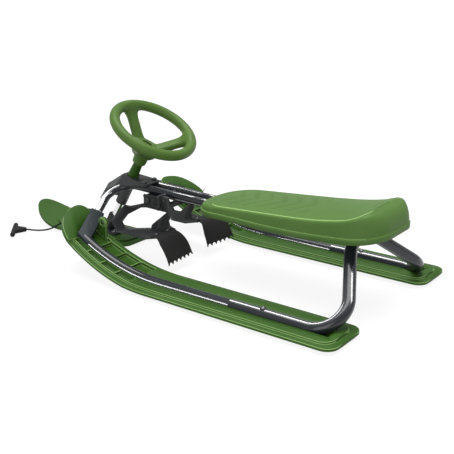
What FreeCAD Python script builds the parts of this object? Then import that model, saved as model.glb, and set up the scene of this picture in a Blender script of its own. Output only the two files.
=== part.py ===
import FreeCAD, Part
import math
import os

os.makedirs("parts", exist_ok=True)

# Steering sled: two side runners on a bent tube frame, a steered front ski turned by a
# wheel on a raked column, a moulded seat, a foot brake with two claws and a rewind tow rope.
# Millimetres. +X is forward, +Y is the rider's left and +Z is up. Places along the sled count
# from a datum line across the frame, and each piece is saved with the origin on the ground
# below the middle of the whole sled.

# Whole sled
track = 392.0
overrun = 2.0
seat_gap = 0.3
fit_gap = 0.1
run_gap = 0.05
sheet = 3.0

# Side runners
runner_tail_x = -515.0
runner_width = 121.0
runner_inset = 7.0
runner_tail_radius = 26.0
runner_bend_x = -80.0
runner_bend_radius = 467.0
runner_bend_angle = 30.0
runner_tip_angle = 38.0
runner_tip_length = 77.0
runner_tip_corner = 24.0
runner_tip_outer = 47.0
taper_start_x = -20.0
keel_depth = 8.0
keel_width = 56.0
keel_foot_width = 32.0
flange_thick = 6.0
deck_rise = 4.0
deck_margin = 14.0
cell_count = 4
cell_wall = 3.0
cell_floor = 2.5
cell_start_angle = 7.3
ear_thick = 7.0
ear_radius = 12.5
ear_hole_d = 10.0
ear_height = 25.4
ear_boss_d = 19.0
ear_boss_height = 1.5
ear_angle = 29.3
ear_foot_rear = 3.4
ear_foot_front = 1.0
ear_web_share = 0.96

# Tubes
hoop_d = 25.4
hoop_wall = 1.6
runner_tube_d = 22.0
runner_tube_wall = 1.5
frame_tube_d = 18.0
frame_tube_wall = 1.5
channel_floor = 3.8
channel_end_x = -484.0
joint_x = -260.0
joint_overlap = 90.0
tube_exit_angle = 27.7
elbow_reach = 11.0
elbow_radius = 16.0
sleeve_width = 31.0
sleeve_depth = 22.0
sleeve_corner = 3.0
sleeve_length = 84.0
sleeve_overlap = 30.0
ring_width = 4.0
ring_thick = 1.8
tube_bolt_x = -335.0

# Rear hoop corners
hoop_corner_x = -517.0
hoop_bend_radius = 56.0
crossbar_x = -431.0
crossbar_z = 136.0
crossbar_corner_y = 39.0
crossbar_bend_radius = 26.0

# Frame tubes, from the sleeve to the crossbar
frame_spread = 34.0
frame_front_x = 210.0
frame_front_z = 150.5
frame_bend_radius = 49.0

# Steering
wheel_x = 101.0
wheel_z = 284.3
rake = 30.1
rim_radius = 92.2
rim_tube_d = 23.6
spoke_count = 3
spoke_width = 24.0
spoke_flare = 12.0
spoke_thick = 11.0
dish_depth = 60.0
hub_disc_d = 52.0
hub_d = 37.0
hub_end_d = 32.0
hub_length = 36.0
hub_recess_d = 24.0
hub_recess_depth = 7.0
column_d = 16.0
column_start = 78.0
head_top = 140.0
head_length = 76.0
head_tube_d = 27.0
bush_d = 22.0
bush_flange = 2.5
bush_flange_d = 27.0
bush_length = 16.0
sleeve_d = 20.5
sleeve_foot_d = 25.5
wheel_bolt_d = 8.0
wheel_bolt_head_d = 16.0
wheel_bolt_head = 5.0

# Steering head hood: places along the sled, heights of its ridge and of its side edges
hood_rear_x = 104.0
hood_step_x = 150.0
hood_top_x = 188.0
hood_nose_x = 240.0
hood_low_x = 266.0
hood_step_z = 164.0
hood_top_z = 171.0
hood_nose_z = 139.0
hood_low_z = 104.0
hood_rear_width = 52.0
hood_step_width = 74.0
hood_top_width = 80.0
hood_nose_width = 44.0
hood_low_width = 30.0
hood_rear_ridge = 44.0
hood_step_ridge = 46.0
hood_top_ridge = 22.0
hood_low_ridge = 16.0
hood_wing_drop = 22.0
hood_rear_drop = 2.0
head_bolt_x = 118.0

# Front ski
ski_width = 114.0
ski_tail_x = 150.0
ski_tip_x = 491.0
ski_tip_reach = 100.0
ski_bend_x = 372.0
ski_bend_radius = 209.0
ski_bend_angle = 33.0
ski_tail_radius = 22.0
ski_keel_depth = 6.0
ski_keel_width = 26.0
ski_thick = 6.0
ski_deck_rise = 4.0
ski_deck_margin = 13.0
ski_deck_front_x = 425.0
fork_plate_thick = 5.0
fork_plate_length = 96.0
fork_plate_width = 58.0
fork_cup_d = 30.0
fork_cup_length = 40.0
fork_web_thick = 5.0
ski_bolt_d = 8.0
ski_bolt_head_d = 14.0
ski_bolt_head = 5.0
ski_bolt_spread_x = 74.0
ski_bolt_spread_y = 38.0

# Tow rope reel
reel_x = 338.0
reel_d = 62.0
reel_height = 26.0
reel_wall = 2.4
reel_lid_thick = 3.0
reel_axle_d = 8.0
spool_d = 50.0
spool_core_d = 24.0
spool_height = 15.0
spool_flange = 2.0
rope_d = 4.0
rope_exit_z = 25.8
rope_exit_turn = 60.0
gland_d = 11.0
gland_length = 7.0
rope_points = [
    (355.3, 30.0, 25.8),
    (362.0, 41.6, 25.6),
    (368.6, 51.5, 23.4),
    (376.8, 57.5, 18.0),
    (386.0, 60.4, 11.8),
    (396.0, 63.4, 6.2),
    (405.2, 71.0, 3.2),
    (416.8, 84.0, 3.0),
    (431.0, 94.0, 4.0),
    (440.5, 103.0, 6.3),
]
handle_length = 88.0
handle_depth = 36.0
handle_thick = 12.0
handle_neck = 9.0

# Seat
seat_nose_x = -45.0
seat_length = 470.0
seat_width = 190.0
seat_front_width = 172.0
seat_front_share = 0.202
seat_mid_share = 0.649
seat_rear_reach = 75.0
seat_crest_reach = 37.0
seat_shoulder_reach = 14.0
seat_corner_radius = 52.0
seat_nose_low_z = 132.0
seat_nose_high_z = 160.0
seat_front_low_z = 141.0
seat_front_high_z = 169.0
seat_mid_low_z = 145.0
seat_mid_high_z = 180.0
seat_rear_low_z = 148.0
seat_rear_high_z = 195.0
seat_crest_z = 212.0
seat_shoulder_z = 199.0
seat_tail_low_z = 165.0
seat_draft = 16.0
seat_wall = 4.5
seat_lip = 2.5
seat_lip_height = 9.0
seat_boss_d = 16.0
seat_screw_d = 5.0
seat_screw_head_d = 11.0
seat_screw_head = 4.0
seat_screw_depth = 14.0
seat_bracket_front_reach = 105.0
seat_bracket_rear_reach = 110.0
seat_bracket_length = 34.0
seat_bracket_side = 21.0
seat_boss_inset = 13.0

# Foot brake
brake_x = 88.0
brake_z = 130.0
brake_pin_d = 8.0
cheek_gap = 78.0
pedal_z = 64.0
pedal_outer_y = 101.0
pedal_front_x = 128.0
pedal_rear_x = 46.0
pedal_kick_x = 8.0
pedal_kick_z = 74.0
toe_top_x = 160.0
toe_top_z = 106.0
toe_outer_drop = 20.0
brake_body_rear_x = 26.0
brake_body_front_x = 100.0
brake_body_top_z = 143.0
brake_body_low_z = 106.0
brake_strip = 15.0
brake_hole_d = 15.0
brake_window = [
    (32.6, 111.0),
    (92.0, 112.0),
    (109.5, 108.7),
    (134.5, 94.0),
    (148.0, 86.0),
    (148.0, 55.0),
    (84.0, 55.0),
    (76.8, 74.4),
]
brake_notch = [
    (0.0, 112.0),
    (14.0, 114.0),
    (26.8, 92.0),
    (24.0, 81.0),
    (14.0, 78.0),
    (0.0, 78.0),
]
pedal_opening = [
    (84.0, 36.0),
    (128.0, 73.0),
    (140.0, 73.0),
    (148.0, 43.0),
    (148.0, 36.0),
]
claw_inner_y = 27.0
claw_mid_x = -12.0
claw_mid_z = 58.0
claw_tip_x = -27.0
claw_tip_z = 21.0
claw_tooth_count = 7
claw_tooth_depth = 8.0
claw_lap = 26.0
brake_bolt_d = 6.0
brake_bolt_head_d = 11.0
brake_bolt_head = 3.5
lug_thick = 4.0
lug_length = 34.0
spacer_d = 14.0
spacer_z = 118.0
spring_d = 7.0
spring_wire_d = 1.4
spring_turn_count = 10
spring_x = 48.0

# Bolts through tube and runner
bolt_d = 6.0
bolt_head_d = 12.0
bolt_head = 4.0

V = FreeCAD.Vector
ORIGIN = V(0, 0, 0)
AXIS_X = V(1, 0, 0)
AXIS_Y = V(0, 1, 0)
AXIS_Z = V(0, 0, 1)
QUARTER = 90
FULL = 360

half_track = track / 2
runner_y = half_track - runner_inset
tail_x = runner_tail_x
middle_x = (ski_tip_x + runner_tail_x) / 2
flange_low = keel_depth
flange_top = keel_depth + flange_thick
deck_top = flange_top + deck_rise
tube_z = channel_floor + seat_gap + hoop_d / 2
frame_y = frame_spread / 2
seat_tail_x = seat_nose_x - seat_length
seat_front_x = seat_nose_x - seat_length * seat_front_share
seat_mid_x = seat_nose_x - seat_length * seat_mid_share
seat_rear_x = seat_tail_x + seat_rear_reach
seat_crest_x = seat_tail_x + seat_crest_reach
seat_shoulder_x = seat_tail_x + seat_shoulder_reach
seat_bracket_front_x = seat_nose_x - seat_bracket_front_reach
seat_bracket_rear_x = max(seat_tail_x + seat_bracket_rear_reach, crossbar_x + hoop_d)
seat_bracket_width = seat_front_width - 2 * seat_bracket_side
seat_boss_spread = seat_bracket_width - 2 * seat_boss_inset


def save(name, shape):
    """Writes one node, as one solid or as a group of separate solids."""
    solids = shape.Solids
    shape = solids[0] if len(solids) == 1 else Part.makeCompound(solids)
    if not shape.isValid():
        raise ValueError(name + " is not a valid shape")
    shape = shape.copy()
    shape.translate(V(-middle_x, 0, 0))
    shape.exportStep("parts/" + name + ".step")
    print(name, len(solids), round(shape.Volume, 1))


def polygon(points):
    """Flat face through the given corners."""
    return Part.Face(Part.makePolygon(list(points) + [points[0]]))


def plate_xz(points, y_low, y_high):
    """Plate with an outline in side view, between two places across the sled."""
    return polygon([V(x, y_low, z) for x, z in points]).extrude(AXIS_Y * (y_high - y_low))


def plate_xy(points, z_low, z_high):
    """Plate with an outline in plan, between two heights."""
    return polygon([V(x, y, z_low) for x, y in points]).extrude(AXIS_Z * (z_high - z_low))


def rod(start, end, diameter):
    """Round bar between two points."""
    line = end - start
    return Part.makeCylinder(diameter / 2, line.Length, start, line)


def fused(shapes):
    """One solid from pieces that are moulded or welded together."""
    return shapes[0].multiFuse(shapes[1:]).removeSplitter()


def mirrored(shape):
    """The same piece on the other side of the sled."""
    return shape.mirror(ORIGIN, AXIS_Y)


def bent_path(points, radii):
    """Straight runs joined by tangent arcs, with one radius for each inner corner."""
    edges = []
    start = points[0]
    for corner, before, after, radius in zip(points[1:-1], points, points[2:], radii):
        back = (before - corner).normalize()
        ahead = (after - corner).normalize()
        half = back.getAngle(ahead) / 2
        reach = radius / math.tan(half)
        inward = (back + ahead).normalize()
        first = corner + back * reach
        last = corner + ahead * reach
        middle = corner + inward * (radius / math.sin(half) - radius)
        edges.append(Part.LineSegment(start, first).toShape())
        edges.append(Part.Arc(first, middle, last).toShape())
        start = last
    edges.append(Part.LineSegment(start, points[-1]).toShape())
    return Part.Wire(edges)


def swept(path, diameter):
    """Round bar along a path."""
    edge = path.Edges[0]
    start = edge.valueAt(edge.FirstParameter)
    along = edge.tangentAt(edge.FirstParameter)
    ring = Part.Wire(Part.makeCircle(diameter / 2, start, along))
    return path.makePipe(Part.Face(ring))


def dome_bolt(diameter, head_d, head, shank, place, down):
    """Dome-headed bolt, with its head seated at a place and its shank along a direction."""
    bolt = Part.makeCylinder(diameter / 2, shank)
    radius = ((head_d / 2) ** 2 + head ** 2) / (2 * head)
    ball = Part.makeSphere(radius, V(0, 0, radius - head))
    cap = ball.common(Part.makeCylinder(head_d / 2, head, V(0, 0, -head)))
    bolt = bolt.fuse(cap)
    bolt.Placement = FreeCAD.Placement(place, FreeCAD.Rotation(AXIS_Z, down))
    return bolt


# Side runners

def runner_turned(shape, angle):
    """Carries a piece at the start of the upturn forward and up along the arc."""
    shape = shape.copy()
    shape.rotate(V(runner_bend_x, 0, runner_bend_radius), -AXIS_Y, angle)
    return shape


def runner_sweep(face, start_x, angle):
    """A section drawn at the start of the upturn, run back along the flat and up the arc."""
    flat = face.extrude(AXIS_X * (start_x - runner_bend_x))
    arc = face.revolve(V(runner_bend_x, 0, runner_bend_radius), -AXIS_Y, angle)
    return flat.fuse(arc)


def section(points):
    """Section across the runner, drawn at the start of the upturn."""
    return polygon([V(runner_bend_x, y, z) for y, z in points])


def band(half_width, z_low, z_high):
    """Rectangular section across the runner."""
    return section([(-half_width, z_low), (half_width, z_low),
                    (half_width, z_high), (-half_width, z_high)])


def groove(diameter, top):
    """Round-bottomed channel section in which a tube lies."""
    radius = diameter / 2 + seat_gap
    left = V(runner_bend_x, runner_inset + radius, tube_z)
    right = V(runner_bend_x, runner_inset - radius, tube_z)
    bottom = V(runner_bend_x, runner_inset, tube_z - radius)
    rise = AXIS_Z * (top - tube_z)
    edges = [Part.Arc(left, bottom, right).toShape(),
             Part.LineSegment(right, right + rise).toShape(),
             Part.LineSegment(right + rise, left + rise).toShape(),
             Part.LineSegment(left + rise, left).toShape()]
    return Part.Face(Part.Wire(edges))


def arc_point(angle, height):
    """Point over the runner's centre line on the upturn, at a height above its underside."""
    turn = math.radians(angle)
    reach = runner_bend_radius - height
    return V(runner_bend_x + reach * math.sin(turn), 0, runner_bend_radius - reach * math.cos(turn))


kink = arc_point(runner_bend_angle, flange_low)
runner_front_x = kink.x + runner_tip_length
runner_height = kink.z + runner_tip_length


def runner_outline(margin):
    """Plan of the runner, drawn in by a margin: rounded tail and a slight taper outside."""
    wide = runner_width / 2 - margin
    narrow = runner_tip_outer - margin
    radius = runner_tail_radius
    rear = tail_x + margin
    front = runner_front_x
    bow = radius * (1 - math.sqrt(0.5))
    edges = [Part.Arc(V(rear + radius, -wide, 0), V(rear + bow, bow - wide, 0),
                      V(rear, radius - wide, 0)).toShape(),
             Part.LineSegment(V(rear, radius - wide, 0), V(rear, wide - radius, 0)).toShape(),
             Part.Arc(V(rear, wide - radius, 0), V(rear + bow, wide - bow, 0),
                      V(rear + radius, wide, 0)).toShape(),
             Part.LineSegment(V(rear + radius, wide, 0), V(taper_start_x, wide, 0)).toShape(),
             Part.LineSegment(V(taper_start_x, wide, 0), V(kink.x, narrow, 0)).toShape(),
             Part.LineSegment(V(kink.x, narrow, 0), V(front, narrow, 0)).toShape(),
             Part.LineSegment(V(front, narrow, 0), V(front, -wide, 0)).toShape(),
             Part.LineSegment(V(front, -wide, 0), V(rear + radius, -wide, 0)).toShape()]
    face = Part.Face(Part.Wire(edges))
    face.translate(AXIS_Z * -overrun)
    return face.extrude(AXIS_Z * (runner_height + overrun))


def runner_tip():
    """Smooth upturned tip, drawn flat at the start of the upturn: highest on its inner side."""
    inner = -runner_width / 2
    corner = runner_tip_corner
    apex_y = inner + corner
    rise = runner_tip_outer - apex_y
    sweep = (runner_tip_length ** 2 + rise ** 2) / (2 * runner_tip_length)
    turn = math.atan2(rise, sweep - runner_tip_length) / 2
    bow = corner * math.sqrt(0.5)
    x = runner_bend_x
    apex = x + runner_tip_length
    edges = [Part.LineSegment(V(x, inner, flange_low), V(apex - corner, inner, flange_low)).toShape(),
             Part.Arc(V(apex - corner, inner, flange_low),
                      V(apex - corner + bow, apex_y - bow, flange_low), V(apex, apex_y, flange_low)).toShape(),
             Part.Arc(V(apex, apex_y, flange_low),
                      V(apex - sweep + sweep * math.cos(turn), apex_y + sweep * math.sin(turn), flange_low),
                      V(x, runner_tip_outer, flange_low)).toShape(),
             Part.LineSegment(V(x, runner_tip_outer, flange_low), V(x, inner, flange_low)).toShape()]
    tongue = Part.Face(Part.Wire(edges)).extrude(AXIS_Z * (deck_top - flange_low))
    keel_end = plate_xz([(x, 0), (x + runner_tip_length / 2, flange_low), (x, flange_low)],
                        -keel_foot_width / 2, keel_foot_width / 2)
    tip = runner_turned(tongue.fuse(keel_end), runner_bend_angle)
    tip.rotate(kink, -AXIS_Y, runner_tip_angle - runner_bend_angle)
    return tip


def runner():
    """Moulded runner about its own centre line, with the inner side towards -Y."""
    half = runner_width / 2
    angle = runner_bend_angle
    base = runner_sweep(band(half, flange_low, flange_top), tail_x, angle)
    deck = runner_sweep(band(half, flange_top, deck_top), tail_x, angle)
    keel = runner_sweep(section([(-keel_foot_width / 2, 0), (keel_foot_width / 2, 0),
                                 (keel_width / 2, flange_low), (-keel_width / 2, flange_low)]),
                        tail_x, angle)
    body = fused([base.common(runner_outline(0)), runner_tip(),
                  deck.common(runner_outline(deck_margin)),
                  keel.common(runner_outline(deck_margin))])
    # Cells between the ribs on the upturned front
    pitch = (angle - cell_start_angle) / cell_count
    reach = runner_tube_d / 2 + seat_gap + cell_wall
    rib = math.degrees(cell_wall / runner_bend_radius)
    cells = []
    for low_y, high_y in ((-half, runner_inset - reach), (runner_inset + reach, half)):
        pocket = section([(low_y, flange_low + cell_floor), (high_y, flange_low + cell_floor),
                          (high_y, deck_top + overrun), (low_y, deck_top + overrun)])
        cell = pocket.revolve(V(runner_bend_x, 0, runner_bend_radius), -AXIS_Y, pitch - rib)
        cells += [runner_turned(cell, cell_start_angle + i * pitch) for i in range(cell_count)]
    outline = runner_outline(deck_margin + cell_wall)
    body = body.cut(Part.makeCompound(cells).common(outline))
    # Ear with its hole on the deck's inner edge, beside the tube's sleeve
    foot = deck_margin + ear_thick - half
    eye = arc_point(ear_angle, deck_top + ear_height)
    rear_foot = arc_point(ear_angle - ear_foot_rear, flange_top)
    front_foot = arc_point(ear_angle + ear_foot_front, flange_top)
    lobe = rod(eye + AXIS_Y * (foot - ear_thick), eye + AXIS_Y * foot, 2 * ear_radius)
    lean = math.radians(ear_angle)
    along = V(math.cos(lean), 0, math.sin(lean)) * (ear_radius * ear_web_share)
    corners = [rear_foot, front_foot, eye + along, eye - along]
    web = plate_xz([(p.x, p.z) for p in corners], foot - ear_thick, foot)
    boss = rod(eye + AXIS_Y * (foot - ear_thick), eye + AXIS_Y * (foot + ear_boss_height), ear_boss_d)
    hole = rod(eye + AXIS_Y * (foot - ear_thick - overrun),
               eye + AXIS_Y * (foot + ear_boss_height + overrun), ear_hole_d)
    body = fused([body, lobe, web, boss]).cut(hole)
    # Channel for the tubes, wider behind the joint and ending where the hoop rises
    top = deck_top + ear_height + ear_radius + overrun
    front = runner_sweep(groove(runner_tube_d, deck_top + overrun), joint_x - overrun, tube_exit_angle)
    wide = groove(hoop_d, top).extrude(AXIS_X * (channel_end_x - runner_bend_x))
    behind = Part.makeBox(joint_x - channel_end_x + overrun, runner_width, top + overrun,
                          V(channel_end_x - overrun, -half, -overrun))
    body = body.cut(front).cut(wide.common(behind))
    # Bolt hole down through the keel
    return body.cut(rod(V(tube_bolt_x, runner_inset, -overrun), V(tube_bolt_x, runner_inset, deck_top),
                        bolt_d + 2 * fit_gap))


runner_left = runner()
runner_left.translate(AXIS_Y * runner_y)

# Rear hoop, one bent tube from runner to runner under the seat

hoop_points = [V(joint_x, half_track, tube_z), V(hoop_corner_x, half_track, tube_z),
               V(crossbar_x, crossbar_corner_y, crossbar_z)]
hoop_points += [V(p.x, -p.y, p.z) for p in reversed(hoop_points)]
hoop_radii = [hoop_bend_radius, crossbar_bend_radius, crossbar_bend_radius, hoop_bend_radius]
hoop_path = bent_path(hoop_points, hoop_radii)
rear_hoop = swept(hoop_path, hoop_d).cut(swept(hoop_path, hoop_d - 2 * hoop_wall))
hoop_room = swept(Part.Wire(hoop_path.Edges[1:3]), hoop_d + 2 * (seat_gap + fit_gap))

# Runner tubes: along the channel, up the runner's front and into a flattened sleeve

exit_turn = math.radians(tube_exit_angle)
exit_way = V(math.cos(exit_turn), 0, math.sin(exit_turn))
exit_point = arc_point(tube_exit_angle, tube_z) + AXIS_Y * half_track
elbow = exit_point + exit_way * elbow_reach
frame_front = V(frame_front_x, frame_y, frame_front_z)
sleeve_way = (frame_front - elbow).normalize()
sleeve_end = elbow + sleeve_way * sleeve_length
arc_start = V(runner_bend_x, half_track, tube_z)
arc_middle = arc_point(tube_exit_angle / 2, tube_z) + AXIS_Y * half_track
tube_start = V(joint_x - joint_overlap, half_track, tube_z)


def sleeve_section(place, width, depth, corner):
    """Rounded oblong across the sleeve, wide along the runner and shallow across its deck."""
    up = V(-exit_way.z, 0, exit_way.x)
    across = sleeve_way.cross(up).normalize()
    up = across.cross(sleeve_way).normalize()
    a = width / 2
    b = depth / 2
    bow = corner * (1 - math.sqrt(0.5))

    def at(u, v):
        return place + across * u + up * v

    edges = []
    for u, v in ((1, 1), (-1, 1), (-1, -1), (1, -1)):
        flat = at(u * a, v * (b - corner))
        round_end = at(u * (a - corner), v * b)
        middle = at(u * (a - bow), v * (b - bow))
        first, last = (flat, round_end) if u * v > 0 else (round_end, flat)
        edges.append(Part.Arc(first, middle, last).toShape())
    closed = []
    for edge, following in zip(edges, edges[1:] + edges[:1]):
        closed += [edge, Part.LineSegment(edge.valueAt(edge.LastParameter),
                                          following.valueAt(following.FirstParameter)).toShape()]
    return Part.Wire(closed)


def runner_tube(clearance):
    """Left runner tube with its flattened sleeve, grown by a clearance for the runner's cut."""
    end = elbow + sleeve_way * (sleeve_width)
    bend = bent_path([exit_point, elbow, end], [elbow_radius])
    edges = [Part.LineSegment(tube_start, arc_start).toShape(),
             Part.Arc(arc_start, arc_middle, exit_point).toShape()]
    body = swept(Part.Wire(edges + bend.Edges), runner_tube_d + 2 * clearance)
    low = elbow + sleeve_way * (elbow_radius * 0.7)
    middle = elbow + sleeve_way * (sleeve_width)
    grown = 2 * clearance
    sections = [sleeve_section(low, runner_tube_d * 0.8 + grown, runner_tube_d * 0.8 + grown, sleeve_corner),
                sleeve_section(middle, sleeve_width + grown, sleeve_depth + grown, sleeve_corner),
                sleeve_section(sleeve_end, sleeve_width + grown, sleeve_depth + grown, sleeve_corner)]
    return fused([body, Part.makeLoft(sections, True, True)])


sleeve_room = runner_tube(seat_gap)
runner_tube_left = runner_tube(0)
runner_tube_left = runner_tube_left.cut(rod(sleeve_end - sleeve_way * sleeve_overlap,
                                            sleeve_end + sleeve_way * overrun, frame_tube_d + 2 * fit_gap))
runner_tube_left = runner_tube_left.cut(rod(tube_start - AXIS_X * overrun, arc_start,
                                            runner_tube_d - 2 * runner_tube_wall))
ring_d = frame_tube_d + 2 * fit_gap + 2 * ring_thick
ring_room = rod(sleeve_end, sleeve_end + sleeve_way * (ring_width + overrun), ring_d + 2 * seat_gap)
runner_left = runner_left.cut(sleeve_room).cut(ring_room).cut(hoop_room)
runner_left = max(runner_left.Solids, key=lambda solid: solid.Volume)
runner_right = mirrored(runner_left)

# Frame tubes: legs from the sleeves to the steering head, then back to the crossbar

frame_start = sleeve_end - sleeve_way * (sleeve_overlap - seat_gap)
frame_rear = V(crossbar_x, frame_y, crossbar_z)
frame_path = bent_path([frame_start, frame_front, frame_rear], [frame_bend_radius])
frame_tube = swept(frame_path, frame_tube_d)
frame_tube = frame_tube.cut(swept(frame_path, frame_tube_d - 2 * frame_tube_wall))
crossbar = rod(V(crossbar_x, -half_track, crossbar_z), V(crossbar_x, half_track, crossbar_z),
               hoop_d + 2 * fit_gap)
behind_crossbar = Part.makeBox(hoop_d, track, hoop_d * 2,
                               V(crossbar_x - hoop_d, -half_track, crossbar_z - hoop_d))
frame_tube = frame_tube.cut(crossbar).cut(behind_crossbar)
frame_tube = max(frame_tube.Solids, key=lambda solid: solid.Volume)
frame_room = swept(frame_path, frame_tube_d + 2 * fit_gap)

tube_ring = rod(sleeve_end + sleeve_way * fit_gap, sleeve_end + sleeve_way * (ring_width + fit_gap), ring_d)
tube_ring = tube_ring.cut(rod(sleeve_end, sleeve_end + sleeve_way * (ring_width + overrun),
                              frame_tube_d + 2 * fit_gap))


def frame_z(x):
    """Height of the frame tubes' centre line at a place along the sled."""
    share = (x - frame_front.x) / (frame_rear.x - frame_front.x)
    return frame_front.z + (frame_rear.z - frame_front.z) * share


def frame_top(x):
    """Height of the upper side of the frame tubes at a place along the sled."""
    return frame_z(x) + frame_tube_d / 2


# Bolt down through each runner tube behind its joint, screwed into the runner's keel

bolt_hole_d = bolt_d + 2 * fit_gap
bolt_top = V(tube_bolt_x, half_track, tube_z + hoop_d / 2 - seat_gap)
bolt_seat = rod(bolt_top, bolt_top + AXIS_Z * hoop_d, bolt_head_d + 2 * seat_gap)
bolt_hole = rod(V(tube_bolt_x, half_track, 0), bolt_top, bolt_hole_d)
runner_tube_left = runner_tube_left.cut(bolt_hole)
rear_hoop = rear_hoop.cut(bolt_hole).cut(mirrored(bolt_hole)).cut(bolt_seat).cut(mirrored(bolt_seat))
runner_bolt = dome_bolt(bolt_d, bolt_head_d, bolt_head, bolt_top.z - overrun, bolt_top, -AXIS_Z)

runner_tube_right = mirrored(runner_tube_left)

# Steering axis: distances run down the column from the wheel's centre

lean = math.radians(rake)
wheel_centre = V(wheel_x, 0, wheel_z)
down_column = V(math.sin(lean), 0, -math.cos(lean))
column_turn = FreeCAD.Placement(wheel_centre, FreeCAD.Rotation(AXIS_Y, -rake))


def on_column(shape):
    """Puts a piece drawn about +Z, with the wheel's centre at its origin, on the column."""
    shape = shape.copy()
    shape.Placement = column_turn.multiply(shape.Placement)
    return shape


def column_rod(start, end, start_d, end_d):
    """Round piece on the column between two distances below the wheel's centre."""
    if start_d == end_d:
        return Part.makeCylinder(start_d / 2, end - start, V(0, 0, -end))
    return Part.makeCone(end_d / 2, start_d / 2, end - start, V(0, 0, -end))


head_end = head_top + head_length
steer_foot_z = ski_keel_depth + ski_thick + ski_deck_rise
column_end = (wheel_z - steer_foot_z - fork_plate_thick) / math.cos(lean)

# Steering wheel: rim, dished spokes and hub in one moulding

def steering_wheel():
    """Wheel about +Z with its rim in the plane z = 0."""
    rim = Part.makeTorus(rim_radius, rim_tube_d / 2)
    rim_in = rim_radius
    hub_r = hub_disc_d / 2
    half = spoke_thick / 2
    dish = polygon([V(0, 0, -dish_depth + half), V(hub_r, 0, -dish_depth + half), V(rim_in, 0, half),
                    V(rim_in, 0, -half), V(hub_r, 0, -dish_depth - half), V(0, 0, -dish_depth - half)])
    dish = dish.revolve(ORIGIN, AXIS_Z, FULL)
    wide = spoke_width / 2
    flare = wide + spoke_flare
    turn_in = rim_in - rim_tube_d
    outline = [Part.LineSegment(V(0, -wide, 0), V(turn_in - flare, -wide, 0)).toShape(),
               Part.LineSegment(V(turn_in - flare, -wide, 0), V(rim_in, -flare, 0)).toShape(),
               Part.LineSegment(V(rim_in, -flare, 0), V(rim_in, flare, 0)).toShape(),
               Part.LineSegment(V(rim_in, flare, 0), V(turn_in - flare, wide, 0)).toShape(),
               Part.LineSegment(V(turn_in - flare, wide, 0), V(0, wide, 0)).toShape(),
               Part.LineSegment(V(0, wide, 0), V(0, -wide, 0)).toShape()]
    spoke = Part.Face(Part.Wire(outline))
    spoke.translate(AXIS_Z * (-dish_depth - spoke_thick))
    spoke = spoke.extrude(AXIS_Z * (dish_depth + spoke_thick * 2))
    spokes = []
    for i in range(spoke_count):
        arm = spoke.copy()
        arm.rotate(ORIGIN, AXIS_Z, i * FULL / spoke_count)
        spokes.append(arm.common(dish))
    disc = column_rod(dish_depth - half, dish_depth + half, hub_disc_d, hub_disc_d)
    hub = column_rod(dish_depth, dish_depth + hub_length, hub_d, hub_end_d)
    body = fused([rim, disc, hub] + spokes)
    recess = column_rod(dish_depth - half - overrun, dish_depth - half + hub_recess_depth,
                        hub_recess_d, hub_recess_d)
    bore = column_rod(column_start, dish_depth + hub_length + overrun, column_d + 2 * fit_gap,
                      column_d + 2 * fit_gap)
    hole = column_rod(dish_depth - half, column_start + overrun, wheel_bolt_d + 2 * fit_gap,
                      wheel_bolt_d + 2 * fit_gap)
    return body.cut(recess).cut(bore).cut(hole)


hub_end = dish_depth + hub_length
recess_floor = dish_depth - spoke_thick / 2 + hub_recess_depth
bolt_reach = wheel_bolt_d * 2

wheel_bolt = fused([column_rod(recess_floor - wheel_bolt_head, recess_floor, wheel_bolt_head_d,
                               wheel_bolt_head_d),
                    column_rod(recess_floor - overrun, column_start + bolt_reach, wheel_bolt_d,
                               wheel_bolt_d)])

# Column: shaft with the bolt's thread bored in its top, seated in the fork's cup

column_top = column_start + fit_gap
steering_column = column_rod(column_top, column_end, column_d, column_d)
steering_column = steering_column.cut(column_rod(column_top - overrun, column_start + bolt_reach + seat_gap,
                                                 wheel_bolt_d + 2 * fit_gap, wheel_bolt_d + 2 * fit_gap))

# Sleeve round the column between the wheel's hub and the steering head

column_sleeve = column_rod(hub_end + seat_gap, head_top - bush_flange - seat_gap, sleeve_d, sleeve_foot_d)
column_sleeve = column_sleeve.cut(column_rod(hub_end, head_top, column_d + 2 * fit_gap,
                                             column_d + 2 * fit_gap))


def head_bush(flange_at, into):
    """Flanged bush in one end of the head tube; into is 1 where it runs down the column."""
    collar_ends = sorted((flange_at, flange_at - into * bush_flange))
    barrel_ends = sorted((flange_at, flange_at + into * bush_length))
    body = fused([column_rod(*collar_ends, bush_flange_d, bush_flange_d),
                  column_rod(*barrel_ends, bush_d - 2 * run_gap, bush_d - 2 * run_gap)])
    ends = (collar_ends[0] - bush_length - overrun, barrel_ends[1] + bush_length + overrun)
    return body.cut(column_rod(*ends, column_d + 2 * run_gap, column_d + 2 * run_gap))


bush_upper = head_bush(head_top, 1)
bush_lower = head_bush(head_end, -1)


# Steering head: head tube, folded hood and cheeks welded to the frame tubes

def hood_section(x, ridge_z, drop, width, ridge):
    """Section across the hood: flat ridge with wings folded down to its side edges."""
    outer = [(width / 2, ridge_z - drop), (ridge / 2, ridge_z), (-ridge / 2, ridge_z),
             (-width / 2, ridge_z - drop)]
    inner = [(y, z - sheet) for y, z in reversed(outer)]
    return Part.makePolygon([V(x, y, z) for y, z in outer + inner + outer[:1]])


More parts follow.
